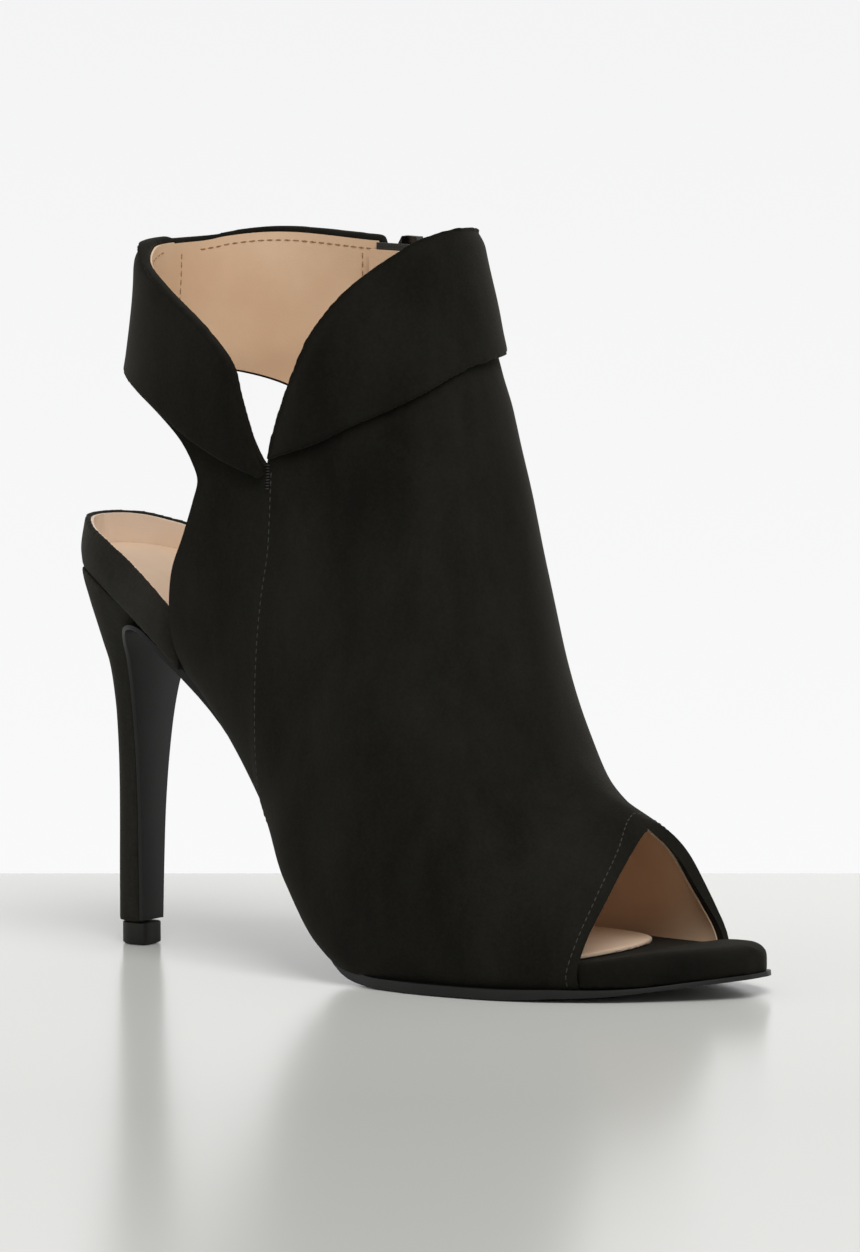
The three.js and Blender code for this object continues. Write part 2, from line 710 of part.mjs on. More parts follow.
// The zip's slot: wide at the mouth, the closed zip's width below, round at its foot.
const zipPoint = (row) => [xAt(row.along), zAt(1, row.rise)];
function zipSlot(grow) {
  const rows = [
    { at: [zipPoint(zipTop)[0], high], half: zipMouth / 2 + grow },
    { at: zipPoint(zipTop), half: zipMouth / 2 + grow },
    { at: zipPoint(zipKnee), half: zipGap / 2 + grow },
    { at: zipPoint(zipFoot), half: zipGap / 2 + grow },
  ];
  const back = rows.map((row) => [row.at[0] - row.half, row.at[1]]);
  const front = rows.map((row) => [row.at[0] + row.half, row.at[1]]);
  const foot = rows[3];
  const round = [];
  for (let i = 1; i < 8; i++) {
    const angle = Math.PI + (Math.PI * i) / 8;
    round.push([foot.at[0] + Math.cos(angle) * foot.half, foot.at[1] + Math.sin(angle) * foot.half]);
  }
  return sideBlock([...back, ...round, ...front.reverse()], 0, wide);
}

// A strip along the zip's middle line, so far to either side, from the collar to so far past the foot.
function zipStrip(half, top, past) {
  const [a, b, c] = [zipPoint(zipTop), zipPoint(zipKnee), zipPoint(zipFoot)];
  const outline = [
    [a[0] - half, top],
    [b[0] - half, b[1]],
    [c[0] - half, c[1] - past],
    [c[0] + half, c[1] - past],
    [b[0] + half, b[1]],
    [a[0] + half, top],
  ];
  return sideBlock(outline, 0, wide);
}

// Upper
const outerForm = form(0);
const upper = outerForm
  .subtract(form(-upperWall))
  .subtract(below(0))
  .subtract(heelOpening(0))
  .subtract(aboveCollar)
  .subtract(peepCut(0))
  .subtract(zipSlot(0));

// Folded collar, cut between two larger forms. It stands off further towards its free edge.
function cuffForm(extra) {
  return form((section) => {
    const drop = (zAt(1, 0.95) - section.frontZ) / (shaftHeight * 0.5);
    return cuffStandOff + cuffFlare * Math.min(Math.max(drop, 0), 1) + extra;
  });
}
const cuffBand = cuffForm(cuffThickness).subtract(cuffForm(0)).subtract(aboveCollar).subtract(zipSlot(0));
const notchX = xAt(outerCollarFront[0].along);
const zipMiddle = zipPoint(zipKnee)[0];
// Everything below a free edge, given for the outer and the inner side
const belowEdge = (outer, inner) =>
  belowLine(shaftLine(outer), -wide, 0).add(belowLine(shaftLine(inner), 0, wide));
const rearHalf = between(behind, notchX, -wide, 0).add(between(behind, zipMiddle, 0, wide));
const cuffFront = cuffBand.subtract(rearHalf.add(belowEdge(frontCuffOuterEdge, frontCuffInnerEdge)));
const cuffBack = cuffBand.intersect(rearHalf).subtract(belowEdge(rearCuffOuterEdge, rearCuffInnerEdge));

// Outsole: a strip from the toe back to the waist, round and down the breast of the heel

const outlineKnots = soleOutline.map((row) => row.along).reverse();
const outlineColumn = (name) => column(outlineKnots, soleOutline.map((row) => row[name]).reverse());
const [soleOuter, soleInner, soleSwing] = ["outer", "inner", "swing"].map(outlineColumn);

function pointOn(line, x) {
  const i = Math.max(line.findIndex((p) => p[0] >= x), 1);
  const share = (x - line[i - 1][0]) / (line[i][0] - line[i - 1][0]);
  return [x, line[i - 1][1] + share * (line[i][1] - line[i - 1][1])];
}

const soleTop = bedLine(-clearance);
const treadThickness = outsoleThickness - clearance;
const thicknessAt = column([0.36, 0.5], [shankThickness, treadThickness]);
const soleStations = [];
for (let i = 0; i < soleOutline.length; i++) {
  const next = soleOutline[Math.min(i + 1, soleOutline.length - 1)].along;
  for (const along of new Set([soleOutline[i].along, (soleOutline[i].along + next) / 2])) {
    soleStations.push({
      at: pointOn(soleTop, xAt(along)),
      outerY: (soleSwing(along) - soleOuter(along)) * ballWidth,
      innerY: (soleSwing(along) + soleInner(along)) * ballWidth,
      thickness: thicknessAt(along),
    });
  }
}
const breastStations = breastTable.map((row, i) => ({
  at: [xAt(row.along), row.rise * heelHeight],
  outerY: -row.half * ballWidth,
  innerY: row.half * ballWidth,
  thickness: i === 0 ? (shankThickness + flapThickness) / 2 : flapThickness,
}));
const stations = [...soleStations, ...breastStations];

// Square to the strip, towards its worn face
function towardsWear(i) {
  const a = stations[Math.max(i - 1, 0)].at;
  const b = stations[Math.min(i + 1, stations.length - 1)].at;
  const far = Math.hypot(b[0] - a[0], b[1] - a[1]);
  return [-(b[1] - a[1]) / far, (b[0] - a[0]) / far];
}

const outsole = skin(
  stations.map((station, i) => {
    const [x, z] = station.at;
    const [wayX, wayZ] = towardsWear(i);
    const [lowX, lowZ] = [x + wayX * station.thickness, z + wayZ * station.thickness];
    return [
      [x, station.outerY, z],
      [x, station.innerY, z],
      [lowX, station.innerY, lowZ],
      [lowX, station.outerY, lowZ],
    ];
  }),
).intersect(below(-clearance));

// The strip's path with a clearance behind it, and everything in front
function breastCut() {
  const first = soleStations.length - 3;
  const line = stations.slice(first).map((station, i) => {
    const [wayX, wayZ] = towardsWear(first + i);
    return [station.at[0] - wayX * clearance, station.at[1] - wayZ * clearance];
  });
  return sideBlock([...line, [lastOf(line)[0], -high], [ahead, -high], [ahead, line[0][1]]], -wide, wide);
}

// Heel block and its replaceable tip

// One level: round at the back, flat at the breast.
function heelRing(back, front, half, z) {
  const middle = back + (front - back) * 0.6;
  const ring = [];
  for (let i = 0; i < heelSteps; i++) {
    const angle = (2 * Math.PI * i) / heelSteps;
    const [along, aside] = [-Math.cos(angle), Math.sin(angle)];
    const power = along < 0 ? 2.2 : 4.5;
    const reach = along < 0 ? middle - back : front - middle;
    const share = (Math.abs(along / reach) ** power + Math.abs(aside / half) ** power) ** (-1 / power);
    ring.push([middle + along * share, aside * share, z]);
  }
  return ring;
}

// The plan of the heel seat, which the top of the heel fits flush
const seatSide = curve(seatOutline.map((row) => [xAt(row.along), row.half * ballWidth]), 2);
const seatLoop = [...seatSide.map(([x, y]) => [x, -y]), ...seatSide.slice().reverse()];
const seatPlan = (inset) => planBlock(shifted(seatLoop, -inset));

const heelKnots = heelTable.map((row) => row.rise);
const [heelBack, heelFront, heelHalf] = ["back", "front", "half"].map((name) =>
  column(heelKnots, heelTable.map((row) => row[name])),
);
const heelFoot = heelTipHeight + clearance;
const heelLevels = heelKnots.flatMap((rise, i) => (i ? [(rise + heelKnots[i - 1]) / 2, rise] : [rise]));
const heel = skin(
  heelLevels.map((rise) => {
    const z = heelFoot + (heelHeight - heelFoot) * rise;
    return heelRing(xAt(heelBack(rise)), xAt(heelFront(rise)), heelHalf(rise) * ballWidth, z);
  }),
)
  .subtract(breastCut())
  .intersect(below(-clearance))
  .intersect(seatPlan(0));

const tipBack = xAt(heelTable[0].back) + heelTipInset;
const tipFront = xAt(heelTable[0].front) + flapThickness - heelTipInset;
const tipHalf = heelTable[0].half * ballWidth - heelTipInset;
const heelTip = skin([0, heelTipHeight].map((z) => heelRing(tipBack, tipFront, tipHalf, z)));

// Heel seat: a floor and a low wall, ending at the upper's rear edge

const counterRise = column(
  counterEdge.map((row) => xAt(row.along)),
  counterEdge.map((row) => row.share * counterHeight),
);
const heelCup = seatPlan(0)
  .intersect(below((x) => counterRise(x)))
  .subtract(below(0))
  .subtract(seatPlan(counterThickness).subtract(below(seatFloor)))
  .intersect(heelOpening(-clearance));

// Insole board and sock, filling the inside of the upper and showing in front of it

const soleLoop = [];
for (const station of soleStations) soleLoop.push([station.at[0], station.innerY]);
for (const station of soleStations.slice().reverse()) soleLoop.push([station.at[0], station.outerY]);
const solePlan = (inset) => planBlock(shifted(soleLoop, -inset));

// The room over the sole, less a gap to the upper and to the wall of the heel seat
const openX = xAt(heelOpeningEdge[1].along);
function insideRoom(gap) {
  const inUpper = form(-upperWall - gap);
  const inSeat = seatPlan(counterThickness + gap);
  const atToe = solePlan(toeInset + gap - clearance).intersect(peepCut(-clearance));
  return inUpper
    .subtract(between(behind, openX + clearance * 5, -wide, wide))
    .add(inUpper.intersect(inSeat))
    .add(inSeat.subtract(between(openX - clearance, ahead, -wide, wide)))
    .add(atToe);
}
const boardAt = column(
  [0.4, 0.58, 0.85, 1].map(xAt),
  [boardThickness, bedThickness, bedThickness, toeThickness],
);
const board = insideRoom(clearance)
  .intersect(below((x) => boardAt(x)))
  .subtract(below((x) => (x < openX ? seatFloor + clearance : 0)));
const sockLine = curve(sockEdge.map((row) => [xAt(row.along), row.side * ballWidth]));
const sockFront = planBlock([[behind, -wide], ...sockLine, [behind, wide]]);
const sock = insideRoom(clearance + sockInset)
  .intersect(sockFront)
  .intersect(below((x) => boardAt(x) + clearance + sockThickness))
  .subtract(below((x) => boardAt(x) + clearance));

// Zip, behind its slot on the inner side, closed up to the collar

// Levels of the zip's layers, measured outwards from the outer form
const tapeLevel = -upperWall - clearance;
const coilLevel = tapeLevel + clearance;
const coilTop = coilLevel + coilHeight;
const plateLevel = coilTop + clearance;
const guardLevel = tapeLevel - zipTapeThickness - clearance;

const overSock = below((x) => boardAt(x) + sockThickness + 2 * clearance);
const layer = (from, to) => form(to).subtract(form(from)).subtract(overSock);
const tapeTop = zAt(1, zipTop.rise) - tapeDrop;
const tapeHalf = zipGap / 2 + tapeMargin;
const tapeEnd = zipGap / 2 + tapeFoot;
const zipTape = layer(tapeLevel - zipTapeThickness, tapeLevel).intersect(
  zipStrip(tapeHalf, tapeTop, tapeEnd),
);
const zipCoil = layer(coilLevel, coilTop).intersect(
  zipStrip(coilWidth / 2, tapeTop - layerStep, tapeFoot),
);
const zipGuard = layer(guardLevel - guardThickness, guardLevel).intersect(
  zipStrip(tapeHalf + guardMargin, tapeTop + layerStep, tapeEnd + layerStep),
);

// The inner side of a form at a place seen from the side.
function innerSide(x, z, distance) {
  const sectionAt = (knot) => Object.fromEntries(sectionColumns.map(([name, at]) => [name, at(knot)]));
  const across = (section) => {
    const [ux, uz] = [section.frontX - section.backX, section.frontZ - section.backZ];
    return ux * (z - section.backZ) - uz * (x - section.backX);
  };
  let [low, top] = [0, lastOf(sectionKnots)];
  for (let i = 0; i < 40; i++) {
    const middle = (low + top) / 2;
    if (across(sectionAt(middle)) > 0) low = middle;
    else top = middle;
  }
  const section = sectionAt(low);
  const far = Math.hypot(section.frontX - section.backX, section.frontZ - section.backZ);
  const at = Math.hypot(x - section.backX, z - section.backZ);
  const middle = section.widest * far;
  const reach = (at < middle ? middle + section.sunk * tuck : far - middle) + distance;
  const power = at < middle ? section.backPower : section.frontPower;
  const share = (1 - Math.abs((at - middle) / reach) ** power) ** (1 / power);
  return section.swing + (section.inner + distance) * share;
}

// A block from its corners
function box(low, top) {
  const size = top.map((value, axis) => value - low[axis]);
  const made = new THREE.BoxGeometry(...size);
  return toSolid(made.translate(...low.map((value, axis) => value + size[axis] / 2)));
}

const sliderX = zipPoint(zipTop)[0];
const sliderZ = zAt(1, zipTop.rise) - sliderLength / 2;
const sliderOutline = [
  [-0.5, 0.3],
  [-0.34, 0.5],
  [0.34, 0.5],
  [0.5, 0.3],
  [0.42, -0.34],
  [0.26, -0.5],
  [-0.26, -0.5],
  [-0.42, -0.34],
].map(([across, up]) => [sliderX + across * sliderWidth, sliderZ + up * sliderLength]);
const channel = zipStrip(coilWidth / 2 + clearance, high, 0).intersect(form(plateLevel));
const plate = layer(coilLevel, plateLevel + sliderPlate)
  .intersect(sideBlock(sliderOutline.reverse(), 0, wide))
  .subtract(channel);

// The bridge stands on the plate; the pull's upper end turns under it.
const plateY = innerSide(sliderX, sliderZ, plateLevel + sliderPlate);
const hingeY = plateY + clearance + pullThickness / 2 + 0.1;
const hingeZ = sliderZ + 0.4;
const bridgeFoot = plateY - sliderPlate / 2;
const bridgeTop = hingeY + pullThickness / 2 + clearance + bridgeThickness;
const bridgeHalf = bridgeLength / 2;
const bridge = box(
  [sliderX - bridgeWidth / 2, bridgeFoot, sliderZ - bridgeHalf],
  [sliderX + bridgeWidth / 2, bridgeTop, sliderZ + bridgeHalf],
).subtract(
  box(
    [sliderX - bridgeWidth, plateY, sliderZ - bridgeHalf + bridgeThickness],
    [sliderX + bridgeWidth, bridgeTop - bridgeThickness, sliderZ + bridgeHalf - bridgeThickness],
  ),
);
const zipSlider = plate.add(bridge);

// Pull: a plate with a rounded upper end on the hinge, hanging down, and a window round the bridge.
const endRound = [];
for (let i = 0; i <= 8; i++) {
  const angle = (Math.PI * i) / 8;
  endRound.push([Math.cos(angle) * (pullThickness / 2), Math.sin(angle) * (pullThickness / 2)]);
}
const pullSide = [...endRound, [-pullThickness / 2, -pullLength], [pullThickness / 2, -pullLength]];
const pullFace = [
  [-0.34, 1],
  [-0.34, -3.8],
  [-0.5, -6.5],
  [-0.5, 1.2 - pullLength],
  [-0.3, -pullLength],
  [0.3, -pullLength],
  [0.5, 1.2 - pullLength],
  [0.5, -6.5],
  [0.34, -3.8],
  [0.34, 1],
].map(([across, up]) => [sliderX + across * pullWidth, hingeZ + up]);

const windowFoot = bridgeHalf + 1.2;
const pullProfile = pullSide.map(([y, z]) => [hingeY + y, hingeZ + z]);
const zipPull = sideBlock(pullFace, 0, wide)
  .intersect(acrossBlock(pullProfile, sliderX - pullWidth, sliderX + pullWidth))
  .subtract(
    box(
      [sliderX - bridgeWidth / 2 - clearance, 0, hingeZ - windowFoot],
      [sliderX + bridgeWidth / 2 + clearance, wide, hingeZ - pullThickness * 0.36],
    ),
  );

// The group's own frame: the middle of its footprint on the floor
const group = new THREE.Group();
const solids = {
  upper,
  cuff_front: cuffFront,
  cuff_back: cuffBack,
  outsole,
  heel,
  heel_tip: heelTip,
  heel_cup: heelCup,
  insole_board: board,
  sock,
  zip_tape: zipTape,
  zip_coil: zipCoil,
  zip_guard: zipGuard,
  zip_slider: zipSlider,
  zip_pull: zipPull,
};
for (const [name, solid] of Object.entries(solids)) group.add(toMesh(name, solid));
const bounds = new THREE.Box3().setFromObject(group);
const middle = bounds.getCenter(new THREE.Vector3());
for (const mesh of group.children) mesh.geometry.translate(-middle.x, -middle.y, -bounds.min.z);
export default group;
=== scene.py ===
# %% [markdown]
# # A peep-toe ankle boot on a stiletto heel, right foot
# The boot is black suede with a beige lining. It stands on a pale glossy table in soft studio light.
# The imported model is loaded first. It is the frame: every piece below is made where that frame has it.

import bpy
import math
import numpy as np
from mathutils import Matrix, Vector
from mathutils.bvhtree import BVHTree


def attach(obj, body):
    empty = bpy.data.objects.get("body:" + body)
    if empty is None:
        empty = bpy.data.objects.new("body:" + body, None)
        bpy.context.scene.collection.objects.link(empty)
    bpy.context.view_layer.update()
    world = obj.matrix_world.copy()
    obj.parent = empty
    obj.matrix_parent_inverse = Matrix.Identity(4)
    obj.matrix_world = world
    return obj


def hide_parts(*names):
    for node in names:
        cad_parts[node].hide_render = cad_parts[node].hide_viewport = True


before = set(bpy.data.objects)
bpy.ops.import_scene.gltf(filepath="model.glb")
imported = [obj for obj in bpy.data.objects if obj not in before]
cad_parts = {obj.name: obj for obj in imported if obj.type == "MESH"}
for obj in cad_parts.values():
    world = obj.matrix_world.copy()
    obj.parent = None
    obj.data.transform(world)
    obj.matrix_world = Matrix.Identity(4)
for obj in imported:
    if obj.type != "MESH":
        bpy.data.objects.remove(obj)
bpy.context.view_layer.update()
MM = 0.001

# %% [markdown]
# ## Camera
# The photograph was taken from the toe's outer side, a little above the table, with a long lens from far
# away: the two sides of the heel stay nearly parallel. So the camera stands 4 m off with a 445 mm lens.
# It is turned 36 degrees from the side and looks 6.2 degrees down.

# %% Camera
TURN, DOWN = math.radians(36), math.radians(6.2)
# the point of the floor under the point looked at, in mm
FLOOR_POINT = (-10.1, 1.64)
LOOK = Vector((*FLOOR_POINT, 96)) * MM
# where the camera stands from there, in metres
FAR_OFF, TO_THE_RIGHT, LOWER = 4, 0.01047, 0.00736
right = Vector((math.cos(TURN), math.sin(TURN), 0))
back = Vector((math.sin(TURN) * math.cos(DOWN), -math.cos(TURN) * math.cos(DOWN), math.sin(DOWN)))
up = back.cross(right)
bpy.ops.object.camera_add()
camera = bpy.context.object
camera.name = "camera"
stand = LOOK + back * FAR_OFF + right * TO_THE_RIGHT - up * LOWER
camera.matrix_world = Matrix.Translation(stand) @ Matrix((right, up, back)).transposed().to_4x4()
camera.data.lens = 445.1
camera.data.sensor_width = 36
camera.data.clip_end = 50
bpy.context.scene.camera = camera
print("camera at", [round(v, 2) for v in camera.location])

# %% [markdown]
# ## Small helpers for materials
# A colour is written as its sRGB hex value, as it would be picked from a swatch, and turned to linear light
# for the shader. `add` places one node with its settings and its links, so that each material below reads as
# a short recipe. Patterns are sized in millimetres: a noise of scale 1 / size repeats about once per size.
# `noise` gives such patches, and `raise_skin` makes a bump of so many millimetres from a pattern.

# %% Material helpers
def linear(hex_colour):
    parts = [int(hex_colour[i : i + 2], 16) / 255 for i in (1, 3, 5)]
    return [c / 12.92 if c <= 0.04045 else ((c + 0.055) / 1.055) ** 2.4 for c in parts] + [1]


def per_mm(size):
    return 1 / (size * MM)


def add(material, kind, inputs=None, **settings):
    node = material.node_tree.nodes.new(kind)
    for name, value in settings.items():
        setattr(node, name, value)
    for name, value in (inputs or {}).items():
        if isinstance(value, bpy.types.NodeSocket):
            material.node_tree.links.new(value, node.inputs[name])
        else:
            node.inputs[name].default_value = value
    return node


def start_material(name, **shader):
    material = bpy.data.materials.new(name)
    material.use_nodes = True
    principled = material.node_tree.nodes["Principled BSDF"]
    for socket, value in shader.items():
        principled.inputs[socket.replace("_", " ")].default_value = value
    where = add(material, "ShaderNodeTexCoord").outputs["Object"]
    return material, principled, where


def two_tones(material, factor, low, high, start=0.35, end=0.65):
    ramp = add(material, "ShaderNodeValToRGB", {"Fac": factor})
    ramp.color_ramp.elements[0].position, ramp.color_ramp.elements[0].color = start, linear(low)
    ramp.color_ramp.elements[1].position, ramp.color_ramp.elements[1].color = end, linear(high)
    return ramp.outputs["Color"]


def join(material, socket, value):
    material.node_tree.links.new(value, material.node_tree.nodes["Principled BSDF"].inputs[socket])


def noise(material, where, size, detail, roughness=0.5):
    inputs = {"Vector": where, "Scale": per_mm(size), "Detail": detail, "Roughness": roughness}
    return add(material, "ShaderNodeTexNoise", inputs).outputs["Fac"]


def raise_skin(material, height, strength, depth):
    inputs = {"Height": height, "Strength": strength, "Distance": depth * MM}
    join(material, "Normal", add(material, "ShaderNodeBump", inputs).outputs["Normal"])


# %% [markdown]
# ## Suede
# Suede is leather with its flesh side out, brushed to a short nap. Nearly all light sinks between the fibres,
# so it is close to black with no highlight, but fibres that lie over catch light at the rim. That rim is the
# shader's sheen. Brush marks are broad, stretched patches of a slightly lighter tone, and the fibres
# themselves are a bump of 0.3 mm, drawn coarser than real ones so that they show. The heel has more light
# on it and gets a lighter mixture of the same suede: painted light. The toe end of the board, whose top
# faces the light, gets a darker one: painted shade.

# %% Suede
def suede(name, dark, light, rim):
    material, shader, where = start_material(name, Roughness=0.95, Sheen_Weight=rim, Sheen_Roughness=0.45)
    shader.inputs["Specular IOR Level"].default_value = 0.12
    shader.inputs["Sheen Tint"].default_value = linear("#8a857a")
    mapping = {"Vector": where, "Scale": (1, 1, 0.45), "Rotation": (0.2, 0.5, 0)}
    lie = add(material, "ShaderNodeMapping", mapping).outputs["Vector"]
    brushed, fine = noise(material, lie, 26, 5, 0.62), noise(material, where, 0.9, 3)
    both = add(material, "ShaderNodeMath", {0: brushed, 1: 0.78}, operation="MULTIPLY")
    sum_of_both = {0: fine, 1: 0.22, 2: both.outputs[0]}
    spread = add(material, "ShaderNodeMath", sum_of_both, operation="MULTIPLY_ADD")
    join(material, "Base Color", two_tones(material, spread.outputs[0], dark, light, 0.38, 0.66))
    raise_skin(material, noise(material, lie, 0.3, 2), 0.5, 0.12)
    return material


black_suede = suede("black_suede", "#0b0a06", "#1c1b16", 0.19)
# a lighter copy of the same suede for the heel and its seat: painted light
heel_suede_painted_light = suede("black_suede_painted_lighter", "#1b1a16", "#2e2d28", 0.25)
# a darker copy of the same suede for the toe end of the board: painted shade
toe_suede_painted_shade = suede("black_suede_painted_darker", "#090805", "#14130e", 0.12)

# %% [markdown]
# ## Lining, sock and the smooth black parts
# The lining is a thin beige synthetic leather: a fine pebbled grain of about 0.6 mm under a satin coat. The
# sock is a little paler. The facing inside the heel's wall is paler still: painted light, which cancels the
# shade on that upright wall. The sole, its flap on the heel and the top piece are moulded plastic and rubber:
# almost even in colour, with a soft highlight.

# %% Lining
def beige_leather(name, low, high, gloss):
    material, shader, where = start_material(name, Roughness=gloss)
    join(material, "Base Color", two_tones(material, noise(material, where, 18, 3), low, high))
    pebble = add(material, "ShaderNodeTexVoronoi", {"Vector": where, "Scale": per_mm(0.6)})
    raise_skin(material, pebble.outputs["Distance"], 0.25, 0.06)
    return material


lining_leather = beige_leather("beige_lining_leather", "#debc9a", "#e5c6a5", 0.55)
sock_leather = beige_leather("beige_sock_leather", "#e3c7ab", "#ebd1b7", 0.5)
# the facing's paler leather is painted light against the shade of its upright wall
facing_leather_painted_light = beige_leather("beige_leather_painted_lighter", "#eed8c0", "#f4e0ca", 0.5)


# %% Smooth black parts
def smooth_plastic(name, low, high, gloss, grain, depth):
    material, shader, where = start_material(name, Roughness=gloss, IOR=1.5)
    shader.inputs["Specular IOR Level"].default_value = 0.25
    join(material, "Base Color", two_tones(material, noise(material, where, 9, 4), low, high))
    raise_skin(material, noise(material, where, grain, 3), 0.4, depth)
    return material


sole_sheet = smooth_plastic("black_sole_sheet", "#0d0d0c", "#131312", 0.5, 1.2, 0.05)
top_piece_rubber = smooth_plastic("black_top_piece_polyurethane", "#0e0d0b", "#141310", 0.55, 0.5, 0.06)


# %% [markdown]
# ## Zip and thread
# The tape is woven polyester, a plain weave of about 0.5 mm. The coil is shiny nylon. Slider and pull are
# die-cast zinc plated to a dark nickel. Sewing thread is twisted: its slanted bands are 0.25 mm apart.

# %% Zip and thread materials
def bands(material, where, step, axis="X"):
    inputs = {"Vector": where, "Scale": per_mm(step) / 6.28}
    return add(material, "ShaderNodeTexWave", inputs, bands_direction=axis).outputs["Fac"]


def woven(name, low, high, step):
    material, shader, where = start_material(name, Roughness=0.85, Sheen_Weight=0.15)
    across, along = (bands(material, where, step, axis) for axis in ("X", "Z"))
    over = add(material, "ShaderNodeMath", {0: across, 1: along}, operation="MULTIPLY").outputs[0]
    join(material, "Base Color", two_tones(material, over, low, high, 0.1, 0.7))
    raise_skin(material, over, 0.6, 0.1)
    return material


def twisted(name, low, high, gloss, step=0.25):
    material, shader, where = start_material(name, Roughness=gloss)
    slant = add(material, "ShaderNodeMapping", {"Vector": where, "Rotation": (0.6, 0.6, 0.6)})
    twist = bands(material, slant.outputs["Vector"], step)
    join(material, "Base Color", two_tones(material, twist, low, high, 0.2, 0.8))
    raise_skin(material, twist, 0.4, 0.04)
    return material


def plated(name, low, high):
    material, shader, where = start_material(name, Metallic=1.0, Roughness=0.3)
    wear = noise(material, where, 3, 4)
    join(material, "Base Color", two_tones(material, wear, low, high))
    rough = add(material, "ShaderNodeMapRange", {"Value": wear, "To Min": 0.24, "To Max": 0.4})
    join(material, "Roughness", rough.outputs["Result"])
    return material


zip_textile = woven("black_zip_tape_polyester", "#12120f", "#1f1f1c", 0.5)
zip_nylon = twisted("black_zip_coil_nylon", "#141412", "#262624", 0.35, 0.4)
zip_metal = plated("dark_nickel_plated_zinc", "#3a3835", "#4c4a46")
black_thread = twisted("black_polyester_thread", "#12110e", "#22211d", 0.75)
brown_thread = twisted("tan_polyester_thread", "#8a6544", "#b08a66", 0.6)
print(len(bpy.data.materials), "materials")

# %% [markdown]
# ## The shoe's own tables
# The upper is a last and an ankle, drawn as sections from the toe up to the collar. The same short tables
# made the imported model. They are repeated here to draw the same form with many more points, because suede
# has no facets. A few numbers are sharpened by a millimetre or two. Lengths are in millimetres from the back
# of the heel, and shares are of the length, the heel height and the shaft height.

# %% Sizes and tables
LENGTH, BALL, ANKLE, HEEL, SHAFT, SPRING, TUCK = 212, 80, 71, 101, 92, 4.7, 5
ORIGIN = np.array((-105.1, 1.64, 0))  # from the tables' zero to the frame's zero

SECTION_NAMES = (
    "back_along back_lift back_rise front_along front_lift front_rise "
    "outer inner leg swing sunk widest back_power front_power"
).split()
SECTIONS = np.array(
    [
        (0.925, 0.0, 0.067, 0.896, 0.0, 0.36, 0.262, 0.26, 0, 0.05, 1, 0.22, 3.4, 1.6),
        (0.849, 0.0, 0.048, 0.824, 0.0, 0.478, 0.385, 0.361, 0, 0.012, 1, 0.2, 3.4, 1.6),
        (0.769, 0.0, 0.034, 0.756, 0.0, 0.562, 0.468, 0.42, 0, 0.003, 1, 0.18, 3.6, 1.68),
        (0.689, 0.0, 0.033, 0.717, 0.01, 0.643, 0.513, 0.465, 0, 0, 1, 0.17, 3.8, 1.75),
        (0.604, 0.0, 0.033, 0.693, 0.08, 0.721, 0.523, 0.477, 0, 0, 1, 0.18, 3.8, 1.8),
        (0.518, 0.006, 0.033, 0.675, 0.2, 0.755, 0.516, 0.468, 0, 0, 1, 0.22, 4, 1.85),
        (0.457, 0.07, 0.033, 0.658, 0.35, 0.753, 0.505, 0.455, 0, 0, 1, 0.27, 4.2, 1.9),
        (0.402, 0.222, 0.025, 0.643, 0.5, 0.732, 0.485, 0.44, 0, 0, 1, 0.33, 4.2, 1.95),
        (0.349, 0.413, 0.022, 0.628, 0.62, 0.721, 0.45, 0.43, 0, 0, 1, 0.4, 3.8, 2),
        (0.259, 0.658, 0.015, 0.615, 0.75, 0.687, 0.5, 0.485, 1, 0, 1, 0.46, 3.4, 2),
        (0.151, 0.86, 0.01, 0.605, 0.85, 0.686, 0.498, 0.487, 1, 0, 1, 0.49, 2.7, 2),
        (0.07, 1.0, 0.13, 0.593, 0.93, 0.675, 0.505, 0.495, 1, 0, 0.3, 0.5, 2.3, 2),
        (0.066, 1.0, 0.37, 0.581, 0.97, 0.707, 0.506, 0.498, 1, 0, 0, 0.5, 2.15, 2),
        (0.0965, 1.0, 0.587, 0.568, 1.0, 0.772, 0.505, 0.5, 1, 0, 0, 0.5, 2.1, 2),
        (0.1085, 1.0, 0.815, 0.552, 1.0, 0.902, 0.502, 0.498, 1, 0, 0, 0.5, 2.1, 2),
        (0.1105, 1.0, 0.99, 0.54, 1.0, 1.022, 0.5, 0.497, 1, 0, 0, 0.5, 2.1, 2),
        (0.112, 1.0, 1.2, 0.526, 1.0, 1.2, 0.497, 0.494, 1, 0, 0, 0.5, 2.1, 2),
    ]
)
# The bed that the upper and the board sit on: along, lift, share of the toe spring
BED = np.array(
    [
        (-0.02, 1.001, 0), (0.0, 1.0, 0), (0.047, 0.983, 0), (0.094, 0.941, 0), (0.142, 0.876, 0),
        (0.208, 0.761, 0), (0.269, 0.638, 0), (0.307, 0.539, 0), (0.335, 0.459, 0), (0.359, 0.369, 0),
        (0.394, 0.249, 0), (0.43, 0.138, 0), (0.462, 0.061, 0), (0.489, 0.0225, 0), (0.518, 0.006, 0),
        (0.566, 0, 0), (0.731, 0, 0), (0.825, 0, 0.13), (0.896, 0, 0.4), (0.943, 0, 0.67), (1.0, 0, 1),
        (1.05, 0, 1.3),
    ]
)
